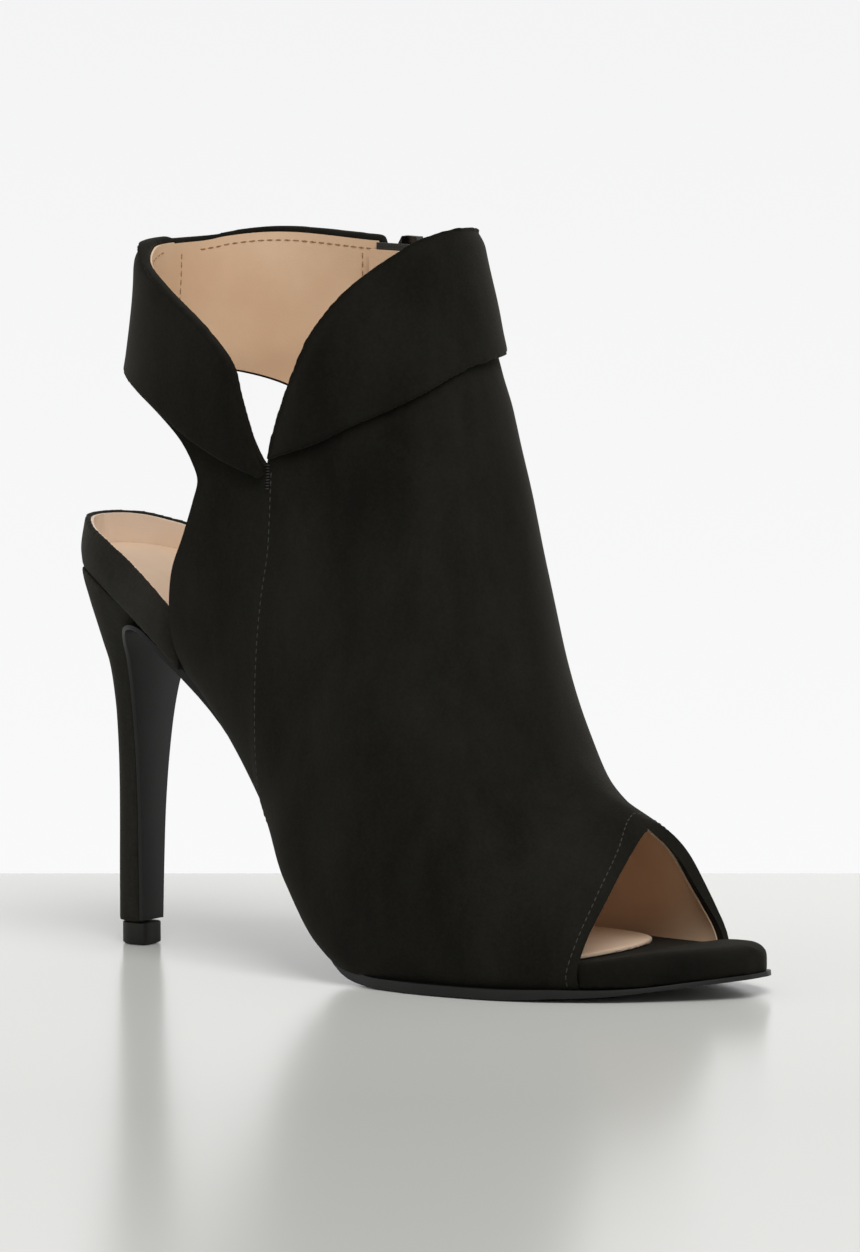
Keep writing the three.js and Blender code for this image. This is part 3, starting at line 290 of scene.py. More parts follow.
# Edges seen from the side. Two columns: along, rise of the shaft over the seat.
OUTER_COLLAR = [
    (-0.05, 0.924), (0.126, 0.923), (0.139, 0.907), (0.157, 0.884), (0.217, 0.82), (0.279, 0.74),
    (0.324, 0.65), (0.338, 0.605), (0.3495, 0.517), (0.3835, 0.335), (0.397, 0.436), (0.4095, 0.527),
    (0.4325, 0.67), (0.4487, 0.741), (0.4786, 0.835), (0.517, 0.926), (0.5486, 0.998), (0.566, 1.02),
    (0.65, 1.1),
]
INNER_COLLAR = [
    (-0.05, 0.924), (0.126, 0.923), (0.141, 0.933), (0.165, 0.942), (0.2, 0.945), (0.32, 0.928),
    (0.41, 0.941), (0.495, 0.967), (0.53, 0.986), (0.5486, 1.0), (0.566, 1.02), (0.65, 1.1),
]
FRONT_CUFF_OUTER = [
    (0.3835, 0.35), (0.4528, 0.405), (0.4953, 0.457), (0.5377, 0.505), (0.5736, 0.563), (0.589, 0.603),
    (0.6, 0.632), (0.66, 0.64),
]
FRONT_CUFF_INNER = [(0.3, 0.6), (0.42, 0.622), (0.5, 0.642), (0.565, 0.646), (0.6, 0.632), (0.66, 0.64)]
REAR_CUFF_OUTER = [
    (-0.05, 0.574), (0.078, 0.572), (0.132, 0.548), (0.191, 0.503), (0.2245, 0.463), (0.31, 0.36),
    (0.3835, 0.3),
]
REAR_CUFF_INNER = [(-0.05, 0.574), (0.078, 0.572), (0.132, 0.545), (0.191, 0.495), (0.26, 0.43), (0.36, 0.37)]
# The open heel: along, lift of the heel height, rise of the shaft height
HEEL_OPENING = [
    (0.222, 0.7, 0.0), (0.2155, 0.77, 0.07), (0.2195, 0.8, 0.124), (0.231, 0.9, 0.131),
    (0.2535, 0.95, 0.178), (0.2725, 1.0, 0.226), (0.2805, 1.0, 0.286), (0.2725, 1.0, 0.333),
    (0.254, 1.0, 0.392), (0.2245, 1.0, 0.446), (0.191, 1.0, 0.489), (0.132, 1.0, 0.533),
    (0.07, 1.0, 0.558), (-0.05, 1.0, 0.56),
]
# The toe's opening on the outer and on the inner side
PEEP = [
    (0.79, 0.58), (0.8255, 0.475), (0.8405, 0.4), (0.8445, 0.28), (0.837, 0.16), (0.828, 0.07),
    (0.825, -0.05),
]
PEEP_INNER = [
    (0.79, 0.58), (0.8255, 0.475), (0.831, 0.4), (0.833, 0.29), (0.842, 0.21), (0.851, 0.16), (0.859, 0.11),
    (0.862, 0.04), (0.862, -0.05),
]
ZIP_TOP, ZIP_KNEE, ZIP_FOOT = (0.366, 0.93), (0.366, 0.68), (0.354, -0.43)
# Outline of the sole: along, half width to the outer and the inner side, swing of the middle line
SOLE = np.array(
    [
        (0.99, 0.02, 0.02, 0.075), (0.984, 0.08, 0.08, 0.075), (0.971, 0.136, 0.134, 0.073),
        (0.95, 0.198, 0.192, 0.068), (0.92, 0.26, 0.247, 0.057), (0.885, 0.32, 0.3, 0.04),
        (0.84, 0.385, 0.358, 0.02), (0.778, 0.456, 0.42, 0.004), (0.708, 0.503, 0.462, 0),
        (0.637, 0.514, 0.468, 0), (0.566, 0.49, 0.448, 0), (0.509, 0.43, 0.4, 0), (0.453, 0.352, 0.34, 0),
        (0.396, 0.296, 0.285, 0), (0.33, 0.268, 0.256, 0), (0.26, 0.274, 0.262, 0), (0.208, 0.29, 0.28, 0),
    ]
)
# The sole's flap down the breast of the heel: along, rise of the heel height, half width
BREAST = np.array(
    [
        (0.175, 0.815, 0.3), (0.152, 0.848, 0.298), (0.132, 0.857, 0.285), (0.114, 0.845, 0.258),
        (0.101, 0.81, 0.214), (0.0935, 0.76, 0.168), (0.0885, 0.7, 0.134), (0.0855, 0.62, 0.108),
        (0.0835, 0.5, 0.084), (0.082, 0.36, 0.068), (0.0812, 0.2, 0.06), (0.0808, 0.065, 0.056),
    ]
)
# The heel block: rise, back, front, half width
HEEL_BLOCK = np.array(
    [
        (0.0, 0.0415, 0.085, 0.063), (0.12, 0.0415, 0.085, 0.064), (0.3, 0.0425, 0.087, 0.069),
        (0.45, 0.0432, 0.089, 0.079), (0.57, 0.0425, 0.092, 0.094), (0.65, 0.0405, 0.097, 0.112),
        (0.72, 0.0385, 0.104, 0.14), (0.78, 0.034, 0.114, 0.178), (0.84, 0.031, 0.13, 0.226),
        (0.9, 0.0265, 0.15, 0.272), (0.96, 0.0185, 0.17, 0.302), (1.0, 0.011, 0.18, 0.31),
        (1.03, 0.009, 0.185, 0.31),
    ]
)
# Heel seat from above, the top of its low wall, and the front edge of the sock
SEAT = [
    (0.0005, 0.03), (0.006, 0.089), (0.0245, 0.169), (0.055, 0.243), (0.1, 0.3), (0.15, 0.322), (0.2, 0.325),
    (0.25, 0.322), (0.3, 0.322),
]
COUNTER = np.array([(-0.02, 1), (0.01, 1), (0.05, 0.93), (0.12, 0.9), (0.18, 0.85), (0.3, 0.82)])
SOCK_FRONT = [
    (0.79, -0.6), (0.798, -0.4), (0.8065, -0.3), (0.8085, -0.19), (0.807, -0.06), (0.8, 0.08), (0.786, 0.19),
    (0.764, 0.285), (0.732, 0.342), (0.69, 0.375), (0.64, 0.4), (0.6, 0.6),
]
print(len(SECTIONS), "sections from toe to collar")

# %% [markdown]
# ## Curves through the tables
# `column` runs a smooth curve through one column of a table that never swings past a row. `through` is a
# rounder curve through points, for edges seen from the side. `grown_form` gives the last grown or shrunk by a
# distance, ring by ring: each ring is a rounded box whose corners are set by two powers.

# %% Curve helpers
def column(knots, values):
    knots, values = np.asarray(knots, float), np.asarray(values, float)
    steps = np.diff(values) / np.diff(knots)
    before, after = np.append(steps[0], steps), np.append(steps, steps[-1])
    product = before * after
    slopes = np.where(product <= 0, 0, 2 * product / np.where(before + after == 0, 1, before + after))

    def at(places):
        places = np.asarray(places, float)
        i = np.clip(np.searchsorted(knots, places) - 1, 0, len(knots) - 2)
        width = knots[i + 1] - knots[i]
        t = np.clip((places - knots[i]) / width, 0, 1)
        rest = 1 - t
        return (
            values[i] * rest**2 * (1 + 2 * t)
            + values[i + 1] * t**2 * (3 - 2 * t)
            + slopes[i] * width * t * rest**2
            - slopes[i + 1] * width * t**2 * rest
        )

    return at


def through(points, steps=8):
    """A centripetal curve through 2-D points or longer rows, with so many steps between two of them."""
    p = np.asarray(points, float)
    p = np.vstack((2 * p[0] - p[1], p, 2 * p[-1] - p[-2]))
    made = []
    for i in range(1, len(p) - 2):
        gaps = [max(np.linalg.norm(p[i + k] - p[i + k - 1]) ** 0.5, 1e-6) for k in (0, 1, 2)]
        t0, t1 = -gaps[0], 0.0
        t2 = gaps[1]
        t3 = t2 + gaps[2]
        for t in np.linspace(t1, t2, steps, endpoint=False):
            a1 = (t1 - t) / (t1 - t0) * p[i - 1] + (t - t0) / (t1 - t0) * p[i]
            a2 = (t2 - t) / (t2 - t1) * p[i] + (t - t1) / (t2 - t1) * p[i + 1]
            a3 = (t3 - t) / (t3 - t2) * p[i + 1] + (t - t2) / (t3 - t2) * p[i + 2]
            b1 = (t2 - t) / (t2 - t0) * a1 + (t - t0) / (t2 - t0) * a2
            b2 = (t3 - t) / (t3 - t1) * a2 + (t - t1) / (t3 - t1) * a3
            made.append((t2 - t) / (t2 - t1) * b1 + (t - t1) / (t2 - t1) * b2)
    return np.array(made + [p[-2]])


section = dict(zip(SECTION_NAMES, SECTIONS.T))
wide_share = np.where(section["leg"] > 0, ANKLE, BALL)
rows = {
    "back_x": section["back_along"] * LENGTH,
    "back_z": section["back_lift"] * HEEL + section["back_rise"] * SHAFT,
    "front_x": section["front_along"] * LENGTH,
    "front_z": section["front_lift"] * HEEL + section["front_rise"] * SHAFT,
    "outer": section["outer"] * wide_share,
    "inner": section["inner"] * wide_share,
    "swing": section["swing"] * BALL,
    "sunk": section["sunk"],
    "widest": section["widest"],
    "back_power": section["back_power"],
    "front_power": section["front_power"],
}
steps_back = np.hypot(np.diff(rows["back_x"]), np.diff(rows["back_z"]))
steps_front = np.hypot(np.diff(rows["front_x"]), np.diff(rows["front_z"]))
knots = np.append(0, np.cumsum((steps_back + steps_front) / 2))
section_at = {name: column(knots, values) for name, values in rows.items()}


def grown_form(grow, rings=150, around=168):
    """Rings of points of the last, grown by a distance in mm, which may depend on the ring."""
    s = {name: at(np.linspace(0, knots[-1], rings))[:, None] for name, at in section_at.items()}
    distance = (grow(s) if callable(grow) else grow) + np.zeros((rings, 1))
    ux, uz = s["front_x"] - s["back_x"], s["front_z"] - s["back_z"]
    far = np.hypot(ux, uz)
    start = -s["sunk"] * TUCK - distance
    widest = s["widest"] * far - start
    whole = far + s["sunk"] * TUCK + 2 * distance
    angle = np.linspace(0, 2 * np.pi, around, endpoint=False)[None, :]
    along, aside = -np.cos(angle), np.sin(angle)
    power = np.where(along < 0, s["back_power"], s["front_power"])
    reach = np.where(along < 0, widest, whole - widest)
    half = np.where(aside > 0, s["inner"], s["outer"]) + distance
    share = (np.abs(along / reach) ** power + np.abs(aside / half) ** power) ** (-1 / power)
    place = (start + widest + along * share) / far
    return np.stack((s["back_x"] + ux * place, s["swing"] + aside * share, s["back_z"] + uz * place), axis=2)


bed = column(BED[:, 0] * LENGTH, 3 * (1 - BED[:, 1]) + BED[:, 1] * HEEL + BED[:, 2] * SPRING)


def side_line(rows_of_edge):
    """An edge seen from the side, in mm."""
    edge = np.asarray(rows_of_edge, float)
    lift = edge[:, 1] if edge.shape[1] == 3 else np.ones(len(edge))
    return through(np.column_stack((edge[:, 0] * LENGTH, lift * HEEL + edge[:, -1] * SHAFT)))


print("last's sections reach", round(float(knots[-1]), 1), "mm along its middle")

# %% [markdown]
# ## Tools of the workbench
# Three starting shapes carry the whole boot. A grid is rolled into a tube along rings of points and closed.
# A flat circle is pulled to an outline and extruded, for a cutter as wide as the boot or for a cut seen from
# above. Boolean modifiers then cut one with another, as a maker cuts panels along a paper pattern. A voxel
# remesh and a few smoothing steps turn the hard cut into the rounded, even edge of soft leather.

# %% Mesh tools
WIDE, HIGH = 160, 300


def only(obj):
    bpy.ops.object.select_all(action="DESELECT")
    obj.select_set(True)
    bpy.context.view_layer.objects.active = obj


def in_edit(*steps):
    bpy.ops.object.mode_set(mode="EDIT")
    bpy.ops.mesh.select_all(action="SELECT")
    for step in steps:
        step()
    bpy.ops.object.mode_set(mode="OBJECT")


def place_points(obj, points_mm):
    co = ((np.asarray(points_mm).reshape(-1, 3) + ORIGIN) * MM).astype(np.float32)
    obj.data.vertices.foreach_set("co", co.ravel())
    obj.data.update()


def points_of(obj):
    """Vertices and their normals, the vertices in the tables' millimetres."""
    count = len(obj.data.vertices)
    co, normal = np.empty(count * 3, np.float32), np.empty(count * 3, np.float32)
    obj.data.vertices.foreach_get("co", co)
    obj.data.vertices.foreach_get("normal", normal)
    return co.reshape(-1, 3).astype(float) / MM - ORIGIN, normal.reshape(-1, 3).astype(float)


def close_up():
    bpy.ops.mesh.remove_doubles(threshold=1e-7)
    bpy.ops.mesh.select_all(action="DESELECT")
    bpy.ops.mesh.select_non_manifold()
    bpy.ops.mesh.fill_holes(sides=0)
    bpy.ops.mesh.select_all(action="SELECT")
    bpy.ops.mesh.normals_make_consistent(inside=False)


def rolled(name, rings):
    """A closed skin over rings of points."""
    count, around = rings.shape[:2]
    bpy.ops.object.select_all(action="DESELECT")
    bpy.ops.mesh.primitive_grid_add(x_subdivisions=around, y_subdivisions=count - 1, size=0.2)
    obj = bpy.context.object
    obj.name = name
    place_points(obj, np.concatenate((rings, rings[:, :1]), axis=1))
    in_edit(close_up)
    return obj


def block(name, outline, axis, start, end):
    """An outline extruded across the boot (axis 1) or through every height (axis 2)."""
    outline = np.asarray(outline, float)
    bpy.ops.object.select_all(action="DESELECT")
    bpy.ops.mesh.primitive_circle_add(vertices=len(outline), fill_type="NGON")
    obj = bpy.context.object
    obj.name = name
    place_points(obj, np.insert(outline, axis, start, axis=1))
    way = [0, 0, 0]
    way[axis] = (end - start) * MM
    in_edit(
        lambda: bpy.ops.mesh.extrude_region_move(TRANSFORM_OT_translate={"value": way}),
        lambda: bpy.ops.mesh.select_all(action="SELECT"),
        lambda: bpy.ops.mesh.normals_make_consistent(inside=False),
    )
    return obj


def side_block(outline, start=-WIDE, end=WIDE):
    return block("cutter", outline, 1, start, end)


def apply_all(obj):
    only(obj)
    for name in [m.name for m in obj.modifiers]:
        bpy.ops.object.modifier_apply(modifier=name)


def modify(obj, kind, **settings):
    only(obj)
    bpy.ops.object.modifier_add(type=kind)
    for name, value in settings.items():
        setattr(obj.modifiers[-1], name, value)
    apply_all(obj)


def combine(obj, tool, operation, keep=False):
    modify(obj, "BOOLEAN", object=tool, operation=operation, solver="MANIFOLD")
    if not keep:
        bpy.data.objects.remove(tool)
    return obj


def cut(obj, tool, keep=False):
    return combine(obj, tool, "DIFFERENCE", keep)


def shared(obj, tool, keep=False):
    return combine(obj, tool, "INTERSECT", keep)


def surface_of(obj):
    mesh = obj.data
    return BVHTree.FromPolygons([v.co for v in mesh.vertices], [p.vertices for p in mesh.polygons])


def copy_of(obj):
    twin = obj.copy()
    twin.data = obj.data.copy()
    bpy.context.collection.objects.link(twin)
    return twin


def soften(obj, voxel, rounds, factor=0.5):
    """Soft, even edges: a voxel remesh in mm, laid back on the exact shape, then smoothed."""
    exact = copy_of(obj)
    modify(obj, "REMESH", mode="VOXEL", voxel_size=voxel * MM, use_smooth_shade=True)
    modify(obj, "SHRINKWRAP", target=exact, wrap_method="NEAREST_SURFACEPOINT")
    modify(obj, "SMOOTH", factor=factor, iterations=rounds)
    bpy.data.objects.remove(exact)
    return obj


def finish_piece(obj, material, name, slot, *nodes):
    obj.name = name
    obj.data.name = name
    obj.data.materials.clear()
    obj.data.materials.append(material)
    only(obj)
    bpy.ops.object.shade_smooth_by_angle(angle=math.radians(40))
    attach(obj, "body")
    if nodes:
        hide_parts(*nodes)
    obj.data.calc_loop_triangles()
    print(name, len(obj.data.loop_triangles), "triangles")
    return obj


# %% [markdown]
# ## Cutters
# The cuts are the same for suede, lining and cuffs, and only move in or out by a millimetre or two. `moved`
# shifts an outline sideways by that distance.

# %% Cutters
OVERLAP = 0.05  # of the two halves of a cutter at the middle of the boot
NOTCH_X = 0.3835 * LENGTH


def moved(outline, distance):
    outline = np.asarray(outline, float)
    way = np.roll(outline, -1, axis=0) - np.roll(outline, 1, axis=0)
    way /= np.maximum(np.linalg.norm(way, axis=1, keepdims=True), 1e-9)
    return outline + np.column_stack((way[:, 1], -way[:, 0])) * distance


def moved_line(line, distance):
    """An open line moved to its own right-hand side, seen along its way."""
    way = np.gradient(line, axis=0)
    way /= np.linalg.norm(way, axis=1, keepdims=True)
    return line + np.column_stack((way[:, 1], -way[:, 0])) * distance


def half_box(from_x, to_x, start, end):
    return side_block([(from_x, -HIGH), (to_x, -HIGH), (to_x, 2 * HIGH), (from_x, 2 * HIGH)], start, end)


def above_line(line, start, end):
    ends = (-LENGTH, line[0][1]), (2 * LENGTH, line[-1][1])
    return side_block([ends[0], *line, ends[1], (2 * LENGTH, 2 * HIGH), (-LENGTH, 2 * HIGH)], start, end)


def below_line(line, start, end):
    ends = (-LENGTH, line[0][1]), (2 * LENGTH, line[-1][1])
    return side_block([(-LENGTH, -HIGH), (2 * LENGTH, -HIGH), ends[1], *line[::-1], ends[0]], start, end)


def below_bed(height):
    x = np.linspace(-0.02 * LENGTH, 1.05 * LENGTH, 160)
    slope = bed(x + 0.5) - bed(x - 0.5)
    far = np.hypot(1, slope)
    rise = height(x) if callable(height) else height
    line = np.column_stack((x - slope / far * rise, bed(x) + rise / far))
    low, high = x[0] - 20, x[-1] + 20
    return side_block([(low, -HIGH), (high, -HIGH), (high, line[-1][1]), *line[::-1], (low, line[0][1])])


def above_collar(drop, at_notch=None):
    """Everything above the collar, lowered by a distance that may be another one at the notch."""
    line, inner = side_line(OUTER_COLLAR), moved_line(side_line(INNER_COLLAR), drop)
    if at_notch is not None:
        near = np.clip(np.abs(line[:, 0] - NOTCH_X) / 10, 0, 1)[:, None]
        drop = at_notch + (drop - at_notch) * near
    return combine(above_line(moved_line(line, drop), -WIDE, OVERLAP), above_line(inner, 0, WIDE), "UNION")


def heel_opening(grow):
    edge = side_line(HEEL_OPENING)
    return side_block(moved([(-LENGTH, 0), (edge[0][0], 0), *edge, (-LENGTH, edge[-1][1])], grow))


def peep_cut(grow, grow_inner=None):
    halves = []
    grow_inner = grow if grow_inner is None else grow_inner
    for table, start, end, back in ((PEEP, -WIDE, OVERLAP, grow), (PEEP_INNER, 0, WIDE, grow_inner)):
        edge = through([(along * LENGTH - back, rise * SHAFT) for along, rise in table])
        corners = [(edge[-1][0], -HIGH), (2 * LENGTH, -HIGH), (2 * LENGTH, HIGH), (edge[0][0], HIGH)]
        halves.append(side_block([*corners, *edge], start, end))
    return combine(halves[0], halves[1], "UNION")


def zip_at(row):
    return row[0] * LENGTH, HEEL + row[1] * SHAFT


def zip_slot(grow):
    (tx, tz), (kx, kz), (fx, fz) = zip_at(ZIP_TOP), zip_at(ZIP_KNEE), zip_at(ZIP_FOOT)
    mouth, gap = 10 + grow, 5.5 + grow
    foot = [(fx + math.cos(a) * gap, fz + math.sin(a) * gap) for a in np.linspace(math.pi, 2 * math.pi, 17)]
    back = [(tx - mouth, HIGH), (tx - mouth, tz), (kx - gap, kz)]
    front = [(kx + gap, kz), (tx + mouth, tz), (tx + mouth, HIGH)]
    return side_block([*back, *foot, *front], 0, WIDE)


def zip_strip(half, top, past):
    (tx, _), (kx, kz), (fx, fz) = zip_at(ZIP_TOP), zip_at(ZIP_KNEE), zip_at(ZIP_FOOT)
    left = [(tx - half, top), (kx - half, kz), (fx - half, fz - past)]
    return side_block([*left, *[(2 * x - a, z) for (a, z), x in zip(left[::-1], (fx, kx, tx))]], 0, WIDE)


print("notch at x =", round(NOTCH_X, 1), "and zip's knee at", [round(v, 1) for v in zip_at(ZIP_KNEE)])

# %% [markdown]
# ## Upper
# On the real boot the upper is suede backed with lining, pulled over a last and glued under the board. Here
# the grown last, less a smaller one, is the wall. It is cut at the sole, the open heel, the toe and the zip.
# At the collar it is cut 2.2 mm low, because the folded cuff rolls over that edge. At the toe's opening
# `thin_at_peep`, below, skives the wall thin on the outer side and folds it double on the inner side.

# %% Upper
upper = rolled("upper", grown_form(0, 200, 220))
cut(upper, rolled("inside", grown_form(-2.0)))
cut(upper, below_bed(-0.15))
cut(upper, heel_opening(0))
cut(upper, above_collar(2.2, -0.3))
cut(upper, peep_cut(0))
cut(upper, zip_slot(0))

# %% [markdown]
# ## Seams and creases on the upper
# The vamp overlaps the quarter along a seam that runs down from the notch, and on the inner side down from
# the zip: a step of half a millimetre, soft at its edge. Walking puts soft creases over the instep and the
# ball. Each is given as a line on the surface with a width and a depth, minus for a ridge.

# %% Seams and creases
SEAM = column([0, 55, 66, 82, 97, 113, 135], [73.0, 75.6, 76.3, 77.2, 78.8, 81.4, 82.2])
# points of the line (x, y, z), half width, depth
CREASES = [
    ([(108, -22, 143), (111, -23, 130), (115, -24, 118), (119, -25, 106)], 3.2, 0.9),
    ([(103, -27, 140), (106, -29, 126), (110, -30, 112)], 3.0, -0.45),
    ([(116, -14, 132), (120, -15, 119), (125, -14, 107)], 3.4, -0.5),
    ([(96, -36, 56), (112, -33, 52), (127, -24, 56), (136, -10, 62)], 4.0, 0.7),
    ([(93, -38, 48), (112, -36, 45), (130, -28, 47), (142, -14, 52)], 4.0, -0.45),
    ([(100, -40, 27), (118, -38, 23), (138, -32, 23), (152, -24, 27)], 4.2, 0.55),
    ([(84, -34, 78), (98, -34, 72), (112, -29, 72)], 3.6, 0.4),
    ([(98, 33, 58), (114, 29, 54), (128, 21, 58), (137, 9, 64)], 4.0, 0.6),
    ([(94, 36, 47), (113, 32, 44), (132, 24, 48)], 4.0, -0.4),
    ([(104, 36, 25), (122, 34, 22), (142, 27, 25)], 4.0, 0.45),
    ([(88, 33, 132), (98, 30, 124), (107, 24, 117)], 3.4, 0.5),
    ([(66, -33, 60), (70, -33, 50), (76, -34, 41)], 3.2, 0.35),
]


def smooth_step(value, start, end):
    t = np.clip((value - start) / (end - start), 0, 1)
    return t * t * (3 - 2 * t)


def from_line(points, line):
    """Distance of each point to a line, and how far along the line it is, from 0 to 1."""
    line = np.asarray(line, float)
    best, along = np.full(len(points), 1e9), np.zeros(len(points))
    for i, (a, b) in enumerate(zip(line[:-1], line[1:])):
        way = b - a
        t = np.clip((points - a) @ way / (way @ way), 0, 1)
        distance = np.linalg.norm(points - a - t[:, None] * way, axis=1)
        near = distance < best
        best[near], along[near] = distance[near], ((i + t) / (len(line) - 1))[near]
    return best, along


def push(obj, outwards):
    """Moves each vertex along its normal by so many mm: outwards(points, normals) gives the distance."""
    points, normals = points_of(obj)
    place_points(obj, points + normals * outwards(points, normals)[:, None])


def creased(points, normals):
    moved_out = np.zeros(len(points))
    for line, width, depth in CREASES:
        smooth = through(line, 6)
        distance, along = from_line(points, smooth)
        fades = np.sin(np.pi * np.clip(along, 0.02, 0.98)) ** 0.6
        moved_out -= depth * np.exp(-((distance / width) ** 2)) * fades
    return moved_out


def lapped(points, normals):
    x, y, z = points.T
    outside = (normals[:, 1] * np.sign(y)) > 0.25
    ahead = np.where(y < 0, x - SEAM(z), x - 75.5)
    fades = np.where(y < 0, 1, smooth_step(-z, -62, -56))
    return 0.5 * smooth_step(ahead, -0.6, 0.5) * outside * fades * smooth_step(-x, -150, -110)


def brushed_unevenly(points, normals):
    x, y, z = points.T
    return 0.1 * np.sin(x / 7.1 + 1.3 * np.sin(z / 11)) * np.sin(z / 8.3 + y / 9.7)


def peep_x(side):
    edge = side_line([(along, 0, rise) for along, rise in (PEEP if side < 0 else PEEP_INNER)])
    return column(edge[::-1, 1], edge[::-1, 0])


def thin_at_peep(obj, outside):
    """Moves points out or in under the outer form, so that the wall's thickness changes and not its shape."""
    points, _ = points_of(obj)
    x, y, z = points.T
    ahead = x - np.where(y < 0, peep_x(-1)(z), peep_x(1)(z))
    squeeze = 0.6 - (0.7 + 0.9 * smooth_step(z, 8, 30)) * smooth_step(y, -4, 10)
    share = squeeze * smooth_step(ahead, -7, -0.8) * smooth_step(-z, -60, -50)
    for i in np.flatnonzero(np.abs(share) > 0.01):
        nearest = outside.find_nearest(Vector((points[i] + ORIGIN) * MM))[0]
        points[i] += (np.array(nearest) / MM - ORIGIN - points[i]) * share[i]
    place_points(obj, points)


outer_form = rolled("outer_form", grown_form(0, 200, 220))
outside = surface_of(outer_form)
bpy.data.objects.remove(outer_form)
thin_at_peep(upper, outside)
push(upper, lambda p, n: creased(p, n) + lapped(p, n) + brushed_unevenly(p, n))
finish_piece(upper, black_suede, "upper_suede", "suede", "upper")

# %% [markdown]
# ## Lining
# A thin sheet on the inside of the wall. Its edges stop a little inside the suede's, because the suede is
# turned over them and sewn down.

# %% Lining
lining = rolled("lining", grown_form(-2.05))
cut(lining, rolled("inside", grown_form(-2.45)))
cut(lining, below_bed(1.0))
cut(lining, heel_opening(0.7))
cut(lining, above_collar(1.5))
cut(lining, peep_cut(0.7, 2.6))
cut(lining, zip_slot(0.5))
thin_at_peep(lining, outside)
finish_piece(lining, lining_leather, "lining_leather", "lining")

# %% [markdown]
# ## Folded collar
# The collar is one band of suede folded outwards, with its ends cut to points at the notch. Each half is cut
# between two forms larger than the shaft, further off towards its free edge. A rim over the shaft's top edge
# joins it to the inside. `rolled_over` then takes the band in over its top 6 mm, so that the fold is one
# round roll and no square edge.

# %% Folded collar
ZIP_X = ZIP_KNEE[0] * LENGTH
MIDDLE_OF_LEG = 69


def cuff_form(extra):
    def grow(s):
        drop = (HEEL + 0.95 * SHAFT - s["front_z"]) / (SHAFT * 0.5)
        return 0.3 + 0.9 * np.clip(drop, 0, 1) + extra

    return grown_form(grow)


band = rolled("band", cuff_form(2.0))
cut(band, rolled("inside", cuff_form(0)))
rim = rolled("rim", cuff_form(1.9))
cut(rim, rolled("inside", grown_form(-2.0)))
outer_line, inner_line = side_line(OUTER_COLLAR), side_line(INNER_COLLAR)
low_outer, low_inner = moved_line(outer_line, 2.4), moved_line(inner_line, 2.4)
cut(rim, combine(below_line(low_outer, -WIDE, OVERLAP), below_line(low_inner, 0, WIDE), "UNION"))
combine(band, rim, "UNION")
cut(band, above_collar(0))
cut(band, zip_slot(0))


def rolled_over(points, normals):
    """Thins the fold from outside over its top few millimetres, and a little more at the back."""
    seen = points[:, ::2]
    below = np.where(points[:, 1] < 0, from_line(seen, outer_line)[0], from_line(seen, inner_line)[0])
    axis = points[:, :2] - (MIDDLE_OF_LEG, 0)
    facing = np.sum(normals[:, :2] * axis, axis=1) / np.linalg.norm(axis, axis=1)
    at_back = smooth_step(-points[:, 0], -45, -28)
    return -(1.3 + 0.5 * at_back) * (1 - smooth_step(below, 0, 6)) ** 1.5 * np.clip(1.5 * facing, 0, 1)


def cuff(name, free_outer, free_inner, front):
    piece = copy_of(band)
    rear = combine(
        half_box(-LENGTH, NOTCH_X, -WIDE, OVERLAP), half_box(-LENGTH, ZIP_X, 0, WIDE), "UNION"
    )
    (cut if front else shared)(piece, rear)
    outer_free = below_line(side_line(free_outer), -WIDE, OVERLAP)
    free = combine(outer_free, below_line(side_line(free_inner), 0, WIDE), "UNION")
    cut(piece, free)
    soften(piece, 0.6, 14)
    push(piece, lambda p, n: brushed_unevenly(p, n) + rolled_over(p, n))
    modify(piece, "SMOOTH", factor=0.5, iterations=8)
    return finish_piece(piece, black_suede, name, "suede", name)


cuff_front = cuff("cuff_front", FRONT_CUFF_OUTER, FRONT_CUFF_INNER, True)
cuff_back = cuff("cuff_back", REAR_CUFF_OUTER, REAR_CUFF_INNER, False)
bpy.data.objects.remove(band)

# %% [markdown]
# ## Sole
# The outsole is a strip of black sheet: under the forefoot, up the waist, round a bend and down the breast of
# the heel as a flap. It is a row of four-cornered rings that follow the sole's outline, with a bevel for the
# trimmed edge. Rings stand closer towards the tip, which is round. At the toe the sheet sinks by 1 mm, and its
# front end is pressed back by 2.5 mm, so that it ends just past the padding.

# %% Sole
def bed_point(along, height):
    x = np.asarray(along) * LENGTH
    slope = bed(x + 0.5) - bed(x - 0.5)
    far = np.hypot(1, slope)
    return x - slope / far * height, bed(x) + height / far


SOLE_TIP, FIRST_RING, LAST_RING = 0.99, 0.989, 0.208
sole_along = FIRST_RING - np.linspace(0, (FIRST_RING - LAST_RING) ** 0.5, 90) ** 2
sole_knots = -((SOLE_TIP - SOLE[::-1, 0]) ** 0.5)
sole_outer, sole_inner, sole_swing = (column(sole_knots, SOLE[::-1, i]) for i in (1, 2, 3))
at_knot = -((SOLE_TIP - sole_along) ** 0.5)
sunk_at_toe = column([0.8, 0.9, 1], [0, 1, 1])
sole_x, sole_z = bed_point(sole_along, -0.25 - sunk_at_toe(sole_along))
sole_x = sole_x - 2.5 * smooth_step(sole_x, 180, 210)
tread = column([0.36, 0.5, 0.75, 0.9], [2.2, 2.7, 2.6, 1.2])(sole_along)
strip = np.column_stack(
    (
        sole_x,
        sole_z,
        (sole_swing(at_knot) - sole_outer(at_knot)) * BALL,
        (sole_swing(at_knot) + sole_inner(at_knot)) * BALL,
        tread,
    )
)
flap_thickness = np.where(np.arange(len(BREAST)) == 0, 1.7, 1.2)
flap = np.column_stack(
    (BREAST[:, 0] * LENGTH, BREAST[:, 1] * HEEL, -BREAST[:, 2] * BALL, BREAST[:, 2] * BALL, flap_thickness)
)
smooth_flap = through(np.vstack((strip[-2:], flap)), 7)[8:]
stations = np.vstack((strip, smooth_flap))
